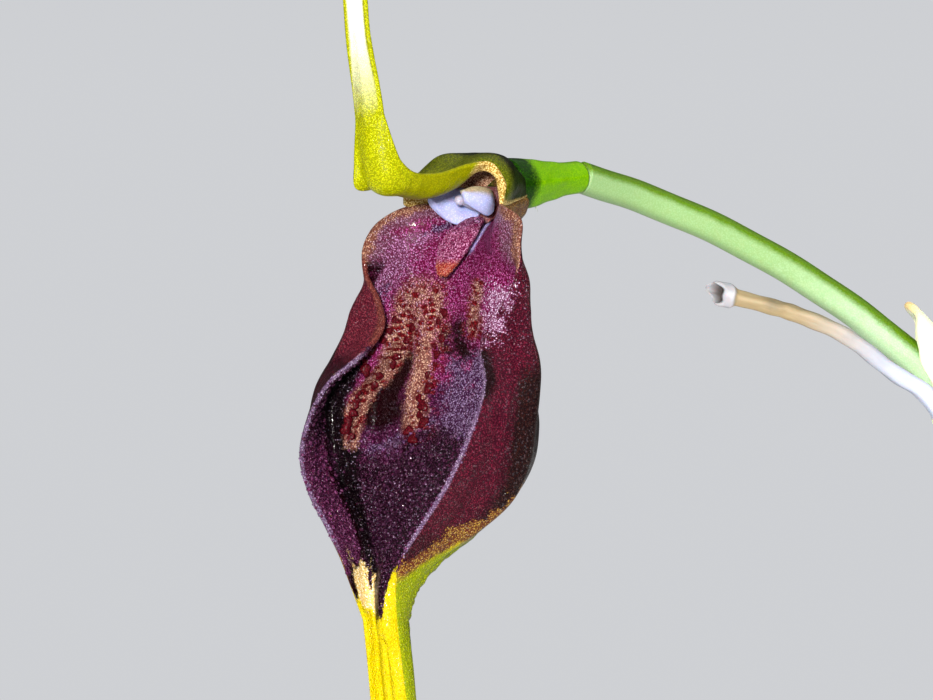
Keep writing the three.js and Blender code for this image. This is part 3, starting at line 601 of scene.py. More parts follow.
# Where the warts' rows run, along the outer ridge and down the inner ridge's right flank, and
# how far apart they stand.
WART_ROWS = (
    ([8.6, 10.1, 11.5, 13.3, 14.9, 16.6], [0.31, 0.35, 0.39, 0.455, 0.50, 0.50], 0.62),
    ([8.2, 9.0, 10.2, 11.4], [0.41, 0.44, 0.47, 0.49], 0.55),
    ([7.6, 9.2, 10.8, 12.9, 14.6, 16.3], [0.11, 0.12, 0.13, 0.135, 0.135, 0.12], 0.66),
)
# Markings that wander across the cup: how far down, and how far across, negative on the left.
FLANK_LINE = ([9.9, 11.4, 14.0], [-0.2, -0.178, -0.152])
PATCH_LINE = ([5, 8.9], [0.27, 0.12])
VALLEY_LINE = ([10, 12, 13.5, 15], [-0.29, -0.30, -0.32, -0.32])
VALLEY_WIDTH = ([10, 12, 13.5, 15], [0.055, 0.075, 0.1, 0.12])
ARC_LINE = ([1.6, 2.4, 2.9, 3.3, 3.8], [-0.26, 0.0, 0.09, 0.09, 0.07])
BLACK_LINE = (
    [9, 13, 15.5, 16.8, 18.9, 21.4, 23.4, 25.1, 27.5],
    [-0.56, -0.60, -0.58, -0.47, -0.50, -0.55, -0.48, -0.17, -0.10],
)

# The red dashes on the ridges: how far apart they lie, across and along.
DASH_WIDTH = 0.62
DASH_LENGTH = 0.36


def cup_guides():
    """The seven lines that shape the cup, from its left rim round the keel to its right rim."""
    guides = [[] for _ in range(7)]
    for k, (keel, floor, belly, rim) in enumerate(CUP_STATIONS):
        gap = SEAM_GAP if k < SEAM_STATIONS else 0
        lines = (
            (1, (rim[0], rim[1], rim[2] + gap)),
            (RIGHT_FULLNESS, (*belly, lerp(keel[1], rim[2], BELLY_SHARE))),
            (RIGHT_FULLNESS, (*floor, lerp(keel[1], rim[2], FLOOR_SHARE))),
        )
        left = [(-LEFT_WIDTHS[k] * r, f, d) for _, (r, f, d) in lines]
        right = [(RIGHT_WIDTHS[k] * full * r, f, d) for full, (r, f, d) in lines]
        for guide, point in zip(guides, [*left, (0.0, *keel), *right[::-1]]):
            guide.append(in_flower(*point))
    return guides


def narrowed_end(t):
    """The share of its width that a tail keeps, which falls away over its very end."""
    return 1 - 0.8 * ramp(t, 0.985, 1.0)


def lower_tail(side, t, length):
    """The line that a lower tail follows: side by side at first, then apart."""
    keel, _, _, rim = CUP_STATIONS[-1]
    steps = [
        (0, 0, 0),
        (2.6, 1.4, -length * 0.25),
        (side * 3 + 2, 1.5, -length * 0.66),
        (side * 9 + 2, -2 + side * 3, -length * 0.96),
    ]
    return bezier(in_flower(side * FORK_SPREAD, keel[0], rim[2]) + np.array(steps), t)


def tail_sections(side, t, columns, length):
    """Cross sections of a lower tail: a deep channel at the fork that opens to a strap."""
    centres = lower_tail(side, t, length)
    _, sides, faces = frames_along(centres, RIGHTWARD)
    # Offsets from the middle line, outward and forward, of the keel, floor, belly and rim.
    channel = np.array([[-0.95, 0.0], [-0.2, -0.6], [0.42, -0.4], [0.45, 0.4]])
    strap = np.array([[-1.0, 0.12], [-0.4, -0.2], [0.4, -0.2], [1.0, 0.12]])
    half_width = lerp(0.82, 0.45, np.sqrt(t)) * narrowed_end(t)
    opened = ramp(t, 0.0, 0.28)[:, None, None]
    offsets = lerp(channel[None], strap[None] * half_width[:, None, None], opened)
    points = beside(centres, sides, side * offsets[..., 0], faces, offsets[..., 1])
    return np.swapaxes(spline(np.swapaxes(points, 0, 1), columns), 0, 1)


def cup_relief(share, depth, side):
    """Height of the lining's ridges and hollows over the plain sheet, in millimetres."""
    outer = np.interp(depth, *OUTER_RIDGE)
    inner = np.interp(depth, *INNER_RIDGE)
    groove = np.interp(depth, *SIDE_GROOVE)
    height = 0.85 * hump(share, outer, 0.06) * span(depth, 7.0, 10.5, 16, 19)
    height += 0.6 * hump(share, inner, 0.065) * span(depth, 6.0, 9.5, 15.5, 17.5)
    height -= 0.4 * hump(share, (outer + inner) / 2 + 0.01, 0.045) * span(depth, 8.5, 11, 15.5, 18)
    height -= 0.3 * hump(share, groove, 0.045) * span(depth, 8.5, 11, 23.5, 25.5)
    return height * (1.0 if side < 0 else 0.4) * ramp(share, 0.0, 0.06)


def cup_folds(share, depth, side):
    """Height of the outer wall's soft folds, and of the knobs near the fork."""
    height = 0.45 * hump(share, 0.66, 0.07) * span(depth, 8, 12, 19, 24)
    height -= 0.3 * hump(share, 0.84, 0.06) * span(depth, 7, 10, 18, 24)
    height += 0.25 * hump(share, 0.42, 0.05) * span(depth, 12, 15, 20, 24)
    knobs = 0.5 + 0.5 * ripples(share * 30, depth * 3.2, 0 * depth, 6)
    knobs = 0.26 * knobs * ramp(share, 0.7, 0.5) * span(depth, 19.5, 22, 26, 30)
    return (height * (1.0 if side > 0 else 0.5) + knobs) * ramp(share, 0.0, 0.06)


def cup_fields(share, depth, inside, side):
    """Where each colour of the cup lies, as fields from 0 to 1. side is -1 left and 1 right, and
    inside is 1 on the lining and 0 on the outer wall."""

    def mottled(strength, fine, coarse, seed):
        return strength * ripples(place * fine, depth * coarse, 0 * depth, seed)

    def at(line):
        return np.interp(depth, *line)

    def streak(strength, centre, width, *reach):
        return strength * hump(place, centre, width) * span(depth, *reach)

    left, right, outside = side < 0, side > 0, 1 - inside
    place = share * side
    drift = mottled(1.6, 9, 0.9, 12)
    outer, groove = -at(OUTER_RIDGE), -at(SIDE_GROOVE)
    # Tan ridges and flank, the fan above them and the patch right of it, with their red dashes.
    ridges = streak(1.2, outer + 0.045 + 0.045 * hump(depth, 11.4, 1.8), 0.06, 7.2, 8.8, 16.0, 17.4)
    flank = streak(1.1, at(FLANK_LINE), 0.045, 8.4, 9.8, 15.0, 16.6)
    fan = 0.62 * span(place, -0.5, -0.38, -0.14, 0.0) * span(depth, 4.4, 6.6, 9.0, 11.0)
    patch = streak(0.72, at(PATCH_LINE), 0.085, 5.0, 6.2, 8.8, 9.8)
    dashed = most(
        span(place, -0.46, -0.38, -0.1, -0.02) * span(depth, 4.8, 6.4, 9.6, 11.2),
        ramp(patch, 0.05, 0.4),
        ramp(ridges, 0.2, 0.6) * ramp(depth, 17.0, 15.0),
        streak(1, -0.13, 0.05, 7.5, 9.0, 15.5, 17.0),
    )
    shoulder = most(
        ramp(share, 0.5, 0.97) * ramp(depth, 6.6, 3.2),
        ramp(depth, 1.9, 1.1) * ramp(share, 0.3, 0.6),
    )
    # Painted shade: the hollows between and beside the ridges, the side groove and the folds are
    # darkened where little light reaches. The field dark also holds a few darker marks of the tissue's
    # own, and the floor low in the cup is near-black in its own colour.
    dark = most(
        streak(1.3, at(VALLEY_LINE), at(VALLEY_WIDTH), 9.2, 11.0, 14.2, 16.2),
        ramp(depth, 8.0, 9.6) * ramp(place, outer - 0.05, outer - 0.09),
        0.8 * span(depth, 3.2, 5.0, 6, 8) * ramp(place, -0.62, -0.74),
        streak(0.7, -0.08, 0.07, 7.6, 9.0, 10, 11),
        streak(0.8, 0.02, 0.09, 6.8, 8.6, 10, 12),
        0.9 * hump(place, -0.12, 0.07) * hump(depth, 16.8, 1.0),
    )
    black = streak(1.4, at(BLACK_LINE), 0.09, 9, 11.5, 27, 28.5)
    deep = most(
        streak(1, groove, 0.09, 9, 11.5, 24, 26.5),
        ramp(depth + drift, 14.0, 18.5) * ramp(share, 0.68, 0.5),
        ramp(place, -0.58, -0.7) * span(depth, 8.5, 10.5, 14.0, 18.0),
    )
    band = ramp(place, -0.62, -0.76) * ramp(depth, 8.5, 10.5)
    # Painted highlight and sheen: where the lining's cells catch the light, paler violet colours are laid
    # on.
    painted_violet_sheen = most(
        ramp(place, -0.14, 0.0) * span(depth, 9.4, 11.0, 15.0, 18.0),
        0.72 * ramp(place, -0.44, -0.36) * ramp(depth + drift, 13.6, 15.4) * ramp(depth, 18.5, 15.8),
    )
    painted_violet_sheen = most(
        painted_violet_sheen * (0.9 + mottled(0.25, 16, 1.7, 4)),
        1.1 * hump(place, -0.42, 0.12) * hump(depth, 1.9, 0.8),
        0.45 * hump(place, -0.5, 0.12) * hump(depth, 6.4, 1.0),
    )
    sheen = streak(1, 0.4, 0.22, 5.0, 7.0, 8.2, 11.2) * (0.8 + mottled(0.3, 20, 2.2, 9))
    # The plate's pale upper left: partly its own pale granules, partly painted highlight where the light
    # falls.
    frost_and_highlight = streak(1, -0.62, 0.3, 1.8, 3.0, 6.0, 8.0)
    # A painted arc of lavender light across the plate under the column.
    painted_arc_light = streak(1.2, at(ARC_LINE), 0.045, 1.2, 1.6, 3.4, 4.6)
    # The yellow foot, and the cream patch over it.
    low, rise = (26.2, ramp(share, 0.1, 0.3)) if left else (24.2, ramp(share, 0.02, 0.08))
    inner_start = lerp(27.4, low, rise)
    outer_start = lerp(21.6, 25.0, ramp(share, 0.5, 0.98))
    start = inner_start if inside else outer_start
    yellow = ramp(depth + drift * 0.3, start - 1.0, start + 0.8)
    creamy = inside * left * ramp(depth + drift * 0.8, 23.2, 25.4) * ramp(depth, 27.6, 25.8)
    creamy = creamy * span(share, 0.1, 0.3, 0.86, 1.0)
    olive = most(0.85 * ramp(depth + drift, start - 4.4, start - 1.6), ramp(depth, 2.4, 0.8))
    # The outer wall's brown and crimson bands. The right rim's top is rolled out, so that it has
    # the lining's colours.
    bare = share - 0.06 * hump(depth, 14, 5)
    rolled = right * ramp(share, 0.5, 0.8) * ramp(depth, 3.6, 5.0)
    crimson = most(
        right * ramp(bare, 0.7, 0.8) * span(depth, 9, 12, 20, 23.5), rolled * ramp(depth, 13.0, 10.5)
    )
    # A painted glint on the rolled-out right rim, and a painted shadow beside the right rim's hook.
    glint = 0.75 * ramp(share, 0.72, 0.94) * span(depth, 5.0, 7.0, 8.4, 11.4)
    glint = glint * (0.75 + mottled(0.35, 24, 2.6, 9))
    shade = right * hump(share, 0.97, 0.06) * span(depth, 9.8, 10.6, 12.0, 14.5)
    # Painted sparks on single cells: more on the pale upper left and sheen, fewer in painted shade.
    sparkle = 0.34 + mottled(0.12, 6, 0.8, 15) + 0.3 * most(frost_and_highlight, sheen)
    sparkle = inside * sparkle * (1 - 0.8 * np.clip(dark, 0, 1))
    sparkle = sparkle + outside * (0.05 + 0.3 * rolled * ramp(depth, 12.0, 9.0))
    papillae = inside * most(
        span(depth, 15.0, 18.0, 23.4, 24.8), ramp(place, -0.6, -0.7) * span(depth, 9, 11, 23.0, 24.4)
    )
    bloomless = (1 - yellow) * (1 - creamy)
    return {
        "lined": inside + 0 * share,
        "frost_and_highlight": inside * 0.8 * frost_and_highlight,
        "wine": inside * ramp(depth + 0.6 * drift, 10.5, 14.0),
        "sheen": np.clip(inside * sheen + outside * rolled * glint, 0, 1),
        "black": inside * np.clip(black, 0, 1),
        "margin": inside * ramp(share, 0.78, 1.0) * ramp(depth, 7.0, 4.2),
        "creamy": creamy,
        "olive": outside * olive,
        "shoulder": inside * shoulder,
        "dark": np.clip(inside * dark + outside * shade, 0, 1),
        "painted_violet_sheen": inside * np.clip(painted_violet_sheen, 0, 1),
        "band": inside * band * ramp(depth, 26, 22),
        "deep": inside * np.clip(deep, 0, 1),
        "painted_arc_light": inside * painted_arc_light,
        "tan": inside * most(ridges, flank, fan, patch),
        "spotted": inside * dashed,
        "lobe": outside * left * ramp(share, 0.6, 0.8) * span(depth, 3.5, 5, 9.5, 12),
        "brown": outside * ramp(bare, 0.76, 0.66) * ramp(depth, 8, 12),
        "crimson": outside * crimson,
        # A lighter red-brown line on the left lobe's edge: partly its own margin, partly painted highlight.
        "lip_line": left * ramp(share, 0.93, 0.985) * span(depth, 3.5, 4.6, 9, 10.5),
        "yellow": yellow,
        "green": outside * right * ramp(depth, outer_start - 1.2, outer_start + 0.3),
        "rim": ramp(share, 0.98, 0.996) * span(depth, 9.6, 11.0, 22.0, 23.6) * (0.8 if left else 1.0),
        "sparkle": bloomless * sparkle,
        "density": bloomless * papillae * (1 - np.clip(black, 0, 0.9)),
    }


def cup_grid(side, tail_length):
    """One half of the cup and its tail: a grid of points from the keel to the rim, their normals,
    the shares across, and which rows are joined to the other half."""
    rim_shares = 1 - np.array([0.05, 0.035, 0.024, 0.015, 0.008, 0.003, 0])
    shares = np.concatenate([np.linspace(0, 0.93, 52), rim_shares])
    down = np.concatenate([[0, 0.001, 0.004, 0.008], np.linspace(0.014, 1, 185)])
    across = np.concatenate([0.5 - 0.5 * shares[::-1], 0.5 + 0.5 * shares[1:]])
    whole = surface_through(cup_guides(), down, across)
    pick = slice(len(shares) - 1, None, side)
    cup, cup_normals = whole[:, pick], grid_normals(whole)[:, pick]
    t = np.linspace(0, 1, 111)[1:] ** 1.35
    tails = {s: tail_sections(s, t, shares, tail_length) for s in (-1, 1)}
    keel = (tails[-1][:, :1] + tails[1][:, :1]) / 2
    joined = (FLOWER_ORIGIN[2] - keel[..., 2]) < FORK_DEPTH
    pull = (keel - tails[side][:, :1]) * np.clip(1 - shares / 0.25, 0, 1)[None, :, None] ** 2
    tail = tails[side] + pull * joined[..., None]
    # The tail starts as the cup's last row let down along its line, and soon takes its own form.
    settle = ramp(t, 0.0, 0.05)[:, None, None]
    let_down = lower_tail(side, t, tail_length) - lower_tail(side, np.array([0.0]), tail_length)
    tail = lerp(cup[-1:] + let_down[:, None], tail, settle)
    hung_keel = cup[-1:, :1] + (keel - keel[:1])
    tail[:, :1] = np.where(joined[..., None], lerp(hung_keel, keel, settle), tail[:, :1])
    grid = np.concatenate([cup, tail])
    normals = grid_normals(grid) * side
    normals[: len(down)] = cup_normals
    normals[len(down) :, 0][joined[:, 0]] = cup_normals[-1, 0]
    return grid, normals, shares, np.concatenate([np.ones(len(down), bool), joined[:, 0]])


class ORCHID_OT_lateral_sepals(bpy.types.Operator):
    """Makes the joined lateral sepals, which form the cup, with the two tails below it"""

    bl_idname = "orchid.lateral_sepals"
    bl_label = "Lateral Sepals"

    def execute(self, context):
        sizes = context.scene.orchid_flower
        halves = [self.half_cup(side, sizes) for side in (-1, 1)]
        skins = [skin for half in halves for skin in half[0]]
        fields = [made for half in halves for made in half[1]]
        joined = {key: np.concatenate([made[key] for made in fields]) for key in fields[0]}
        cup = new_piece("sepal_cup_and_tails", join_skins(*skins), **joined)
        tissue = flower_tissue(
            "cup sepal, waxy living tissue",
            ("#1e020b", "#501424"),
            [
                ("lined", "#480224", "#a84c8c", 0.0),
                ("frost_and_highlight", "#4a1a34", "#b27cac", 0.6),
                ("lobe", "#3c0c1a", "#8a3040", 0.5),
                ("brown", "#100305", "#32120e", 0.6),
                ("crimson", "#2a0412", "#6c142e", 0.5),
                ("shoulder", "#4a2434", "#9a7490", 0.6),
                ("margin", "#583028", "#b88e76", 0.6),
                ("wine", "#24041a", "#6a2c58", 0.5),
                ("painted_violet_sheen", "#2c0e2c", "#8e769e", 0.75),
                ("dark", "#0c0002", "#24030a", 0.5),
                ("sheen", "#5e2448", "#dec2e4", 0.9),
                ("band", "#320a26", "#8c5078", 0.6),
                ("deep", "#0c0207", "#4a1e3e", 0.7),
                ("black", "#040103", "#16050c", 0.4),
                ("painted_arc_light", "#9484c8", "#e0d8fc", 0.4),
                ("tan", "#5a302c", "#c8a08c", 0.55),
                ("lip_line", "#4a1c1c", "#8a4c40", 0.4),
                ("olive", "#502414", "#b08e3c", 0.9),
                ("yellow", "#b4a000", "#e0d018", 0.6),
                ("creamy", "#ccaa60", "#fffbe4", 0.7),
                ("green", "#6c7804", "#a0a806", 0.3),
                ("rim", "#4a3650", "#a08cac", 0.3),
            ],
            ("#3a0408", "#86141e"),
            bump=1.0,
            coat=0.45,
        )
        nodes = ("lateral_sepals", "lower_tail_left", "lower_tail_right")
        finish_piece(cup, tissue, "sepal_maroon", *nodes)
        cells = flower_tissue(
            "papillae, waxy cells",
            ("#380c28", "#74406a"),
            [("painted_violet_sheen", "#4a3058", "#85709c", 0.3), ("deep", "#240c1c", "#4a2844", 0.5)],
            roughness=0.16,
            bump=0.1,
            coat=0.8,
        )
        pale = flower_tissue(
            "rim cells, waxy and pale", ("#5a4060", "#9c86a8"), roughness=0.2, bump=0.1, coat=0.4
        )
        bead = bead_shape("papilla_shape", around=5)
        knob = bead_shape("deep_knob_shape", 0.8, 8, 0.1)
        slot = "sepal_maroon"
        spacing = sizes.papilla_spacing / MM
        scatter("cup_papillae", cup, bead, cells, slot, spacing, (0.045, 0.095), 0.5, 4)
        scatter("cup_deep_knobs", cup, knob, cells, slot, 0.42, (0.1, 0.2), 0.3, 11)
        rim = np.empty(len(cup.data.vertices), np.float32)
        cup.data.attributes["rim"].data.foreach_get("value", rim)
        cup.data.attributes["density"].data.foreach_set("value", rim)
        scatter("rim_beads", cup, bead, pale, slot, 0.15, (0.05, 0.09), 0.4, 6)
        discard(bead, knob)
        self.warts(*halves[0][2])
        return {"FINISHED"}

    def half_cup(self, side, sizes):
        """The front and back skins of one half, their fields, and the sheet that warts stand on."""
        half, tail_half = sizes.sepal_thickness / MM / 2, sizes.tail_thickness / MM / 2
        grid, normals, shares, joined = cup_grid(side, sizes.tail_length / MM)
        share = np.broadcast_to(shares, grid.shape[:2])
        depth = FLOWER_ORIGIN[2] - grid[..., 2]
        across = lengths_along(grid, 1)
        slit = np.where(joined[:, None], 1.0, rounded(across, half))
        slit[np.flatnonzero(joined)[-1], 0] = 0.0
        keep = round_edges(grid, half, "tbr") * slit
        fine = lerp(0.5, 1.0, ramp(across[:, -1:] - across, 0.1, 1.8))
        thick = lerp(half, tail_half, ramp(depth, 25, 32)) * keep
        thick = thick * lerp(1.0, fine, ramp(share, 0.0, 0.2))
        wobble = ripples(*np.moveaxis(grid, -1, 0) * 0.9, 3) * 0.07 * ramp(share, 0.0, 0.06)
        relief = (cup_relief(share, depth, side) + wobble) * keep
        front = grid + normals * (thick + relief)[..., None]
        back = grid - normals * (thick + cup_folds(share, depth, side) * keep)[..., None]
        quads = grid_quads(*grid.shape[:2])[:, ::side]
        skins = [(front.reshape(-1, 3), quads), (back.reshape(-1, 3), quads[:, ::-1])]
        fields = []
        for inside in (1.0, 0.0):
            made = cup_fields(share, depth, inside, side)
            made = {key: np.broadcast_to(values, share.shape).ravel() for key, values in made.items()}
            sheet = np.stack([side * across / DASH_WIDTH, depth / DASH_LENGTH, 0 * depth], axis=-1)
            fields.append({**made, "sheet": sheet.reshape(-1, 3)})
        return skins, fields, (front, normals, share, depth)

    def warts(self, front, normals, share, depth):
        """Stands glossy warts in rows along the two ridges of the cup's left half."""
        draw = seeded_random(WART_SEED)
        places = []
        for row_depth, row_share, gap in WART_ROWS:
            d = row_depth[0]
            while d < row_depth[-1]:
                u = np.interp(d, row_depth, row_share) + lerp(-0.022, 0.022, draw())
                away = ((share - u) * 14) ** 2 + (depth - d) ** 2
                places.append(np.unravel_index(np.argmin(away), away.shape))
                d += gap * lerp(0.75, 1.3, draw())
        rows, columns = np.array(places).T
        spots = new_piece("wart_places", (front[rows, columns], []), facing=normals[rows, columns])
        knob = bead_shape("wart_shape", 0.5, 9, 0.22)
        glossy = flower_tissue(
            "wart, glossy living tissue", ("#34040a", "#5c0f1c"), roughness=0.2, coat=0.4, bump=0.5
        )
        scatter("ridge_warts", spots, knob, glossy, "sepal_maroon", 1.0, (0.22, 0.42), 0.3, 3, single=True)
        discard(knob, spots)


# The upper sepal, from the tube over the column to the foot of its tail.
# crest: F, D. side: half width, F, D. right and left rims: half width, F, D.
HOOD_STATIONS = [
    ((-1.0, -1.1), (0.9, -1.0, -0.7), (1.2, -1.0, 0.0), (1.2, -1.0, 0.0)),
    ((1.2, -1.85), (1.9, 1.4, -1.15), (2.5, 1.9, 0.5), (2.5, 1.9, 0.5)),
    ((2.6, -2.3), (2.5, 2.9, -1.75), (3.85, 5.0, 0.8), (3.85, 5.0, 0.8)),
    ((3.7, -2.0), (2.1, 4.2, -1.95), (3.95, 4.75, -0.45), (3.9, 5.6, 0.35)),
    ((5.0, -1.4), (1.35, 5.0, -1.6), (2.95, 4.75, -1.8), (3.2, 6.0, -0.6)),
    ((6.5, -0.4), (1.2, 6.4, -0.7), (2.3, 6.4, -1.75), (2.5, 6.8, -0.9)),
    ((8.4, 0.1), (1.2, 8.4, -0.2), (1.9, 8.5, -1.2), (2.0, 8.4, -0.8)),
    ((10.4, -0.05), (1.1, 10.5, -0.3), (1.6, 10.6, -1.1), (1.7, 10.4, -0.4)),
    ((12.4, -0.2), (1.0, 12.4, -0.6), (1.6, 12.0, -1.7), (1.5, 13.0, -0.1)),
    ((13.2, -1.8), (0.9, 13.1, -1.9), (1.5, 12.6, -2.6), (1.4, 13.3, -1.9)),
    ((13.6, -4.6), (0.8, 13.5, -4.6), (1.2, 13.4, -4.8), (1.1, 13.4, -4.6)),
]


def hood_guides():
    """The five lines that shape the hood, from its left rim over the crest to its right rim."""
    guides = [[] for _ in range(5)]
    for k, (crest, side, right, left) in enumerate(HOOD_STATIONS):
        lift = SEAM_GAP if k < SEAM_STATIONS else 0
        points = (
            (-left[0], left[1], left[2] - lift),
            (-side[0], *side[1:]),
            (0.0, *crest),
            side,
            (right[0], right[1], right[2] - lift),
        )
        for guide, point in zip(guides, points):
            guide.append(in_flower(*point))
    return guides


def upper_tail(t, length):
    """The line that the upper tail follows: up from the hood's tip, leaning back near its end."""
    steps = [(0, 0, 0), (-3.0, -3.2, length * 0.33), (-2.6, -2.5, length * 0.7), (3, 9, length * 0.98)]
    return bezier(in_flower(0.0, *HOOD_STATIONS[-1][0]) + np.array(steps), t)


class ORCHID_OT_upper_sepal(bpy.types.Operator):
    """Makes the upper sepal, which hoods the column and runs out into a tall tail"""

    bl_idname = "orchid.upper_sepal"
    bl_label = "Upper Sepal"

    def execute(self, context):
        sizes = context.scene.orchid_flower
        half = sizes.sepal_thickness / MM / 2
        length = sizes.tail_length / MM
        down = np.concatenate([[0, 0.002, 0.006, 0.012], np.linspace(0.02, 1, 130)])
        across = edge_shares(46, 0.07)
        hood = surface_through(hood_guides(), down, across)
        t = np.linspace(0, 1, 121)[1:] ** 1.3
        centres = upper_tail(t, length)
        _, sides, faces = frames_along(centres, RIGHTWARD)
        half_width = (lerp(1.2, 0.5, t**0.4) * narrowed_end(t))[:, None]
        aside = 2 * across - 1
        fold = 0.28 * np.abs(aside) ** 3 * half_width
        strap = beside(centres, sides, aside * half_width, faces, -fold)
        hung = hood[-1:] + (centres - upper_tail(np.array([0.0]), length))[:, None]
        grid = np.concatenate([hood, lerp(hung, strap, ramp(t, 0.0, 0.06)[:, None, None])])
        edge = lengths_along(grid, 1)
        edge = np.minimum(edge, edge[:, -1:] - edge)
        keep = round_edges(grid, half * 0.4) * lerp(0.38, 1.0, ramp(edge, 0.05, 1.6))
        lift = ripples(*np.moveaxis(grid, -1, 0) * 1.1, 8) * 0.05
        forward = (grid - FLOWER_ORIGIN) @ FORWARD
        rise = grid[..., 2] - FLOWER_ORIGIN[2]
        share = np.broadcast_to(np.abs(aside), rise.shape)
        tube = ramp(forward, 6.4, 5.2) * ramp(rise, 6, 4)
        # The sheet's outer face comes first, then the lining.
        inside = np.array([0.0, 1.0])[:, None, None]
        fields = {
            "green": (1 - inside) * ramp(forward, 8.5, 5.0) * ramp(share, 1.0, 0.93),
            # Painted shade on the tube's outer face next to the ovary.
            "tube_shade": (1 - inside) * ramp(forward, 4.4, 2.8),
            # The lining's gold and flush are its own colours, laid on brighter as painted glow for light
            # through the thin sheet.
            "gold_and_glow": lerp(0.8 * tube * ramp(share, 0.9, 0.98), tube, inside),
            "flush_and_glow": inside * tube * ramp(share, 0.9, 0.5) * ramp(forward, 5.2, 4.0),
            # A painted highlight down the tail's middle, paler than its yellow margins.
            "pale": both_faces(ramp(rise, 3, 14) * ramp(share, 0.9, 0.55)),
            "bright": both_faces(ramp(forward, 9.5, 12.5)),
        }
        sepal = new_piece("upper_sepal_and_tail", sheet_skin(grid, half, keep, lift), **fields)
        tissue = flower_tissue(
            "upper sepal, waxy living tissue",
            ("#707200", "#8a8a02"),
            [
                ("bright", "#7c8000", "#a8ac08", 0.3),
                ("pale", "#ecece0", "#fcfcfa", 0.1),
                ("green", "#3c4402", "#666c0c", 0.4),
                ("tube_shade", "#0a0c00", "#1c2002", 0.3),
                ("gold_and_glow", "#8a6a28", "#e4cc88", 0.4),
                ("flush_and_glow", "#7c4c38", "#dcb89c", 0.6),
            ],
            roughness=0.34,
            bump=0.3,
            even=0.8,
            coat=0.05,
        )
        finish_piece(sepal, tissue, "sepal_yellow", "upper_sepal")
        return {"FINISHED"}


# The petals: two short pale blades beside the column, from their claws to their tips. Each row
# runs from the upper edge to the lower edge: R, F, D.
LEFT_PETAL = [
    [[-1.0, 0.7, -0.2], [-1.1, 0.8, 0.2], [-0.9, 0.8, 0.6]],
    [[-1.4, 2.4, -0.3], [-1.3, 2.5, 0.5], [-0.1, 2.6, 1.5]],
    [[-1.7, 3.6, -0.3], [-1.4, 3.6, 0.7], [-0.4, 3.2, 2.05]],
    [[-1.9, 4.6, 0.0], [-1.75, 4.4, 0.8], [-1.3, 3.9, 1.9]],
    [[-1.95, 5.4, 0.35], [-1.9, 5.2, 0.65], [-1.75, 4.8, 1.15]],
]
RIGHT_PETAL = [
    [[0.8, 2.3, 0.3], [0.85, 2.3, 0.7], [0.8, 2.3, 1.0]],
    [[1.3, 3.0, -0.1], [1.5, 3.1, 0.6], [1.3, 3.0, 1.3]],
    [[1.45, 3.7, -0.35], [1.75, 3.8, 0.5], [1.35, 3.6, 1.45]],
    [[1.2, 4.7, -0.4], [1.6, 4.6, 0.4], [1.3, 4.4, 1.15]],
    [[0.8, 5.5, -0.1], [1.0, 5.5, 0.2], [0.9, 5.2, 0.6]],
]
PETAL_HALF = 0.16
# The middle lines of the column and of the foot that carries the lip: F, D.
COLUMN_LINE = ((-0.9, -0.1), (0.8, 0.2), (2.8, 0.3), (4.9, 0.5))
FOOT_LINE = ((-0.3, 0), (0.6, 0.9), (1.3, 1.2), (2.2, 1.5))
FOOT_RADIUS = 0.45
LIP_LINE = ((2.75, 1.75), (4.0, 2.0), (5.2, 3.4), (6.35, 5.3))
# Clear drops: one under the column, two on the lining, by R, F, D and radius.
DROPLETS = [(0.75, 3.75, 1.75, 0.2), (-1.55, 5.35, 14.75, 0.14), (-1.5, 5.4, 15.3, 0.09)]


def middle_line(places, t):
    """A curve down the flower's middle through places given by F and D."""
    return bezier([in_flower(0, f, d) for f, d in places], t)


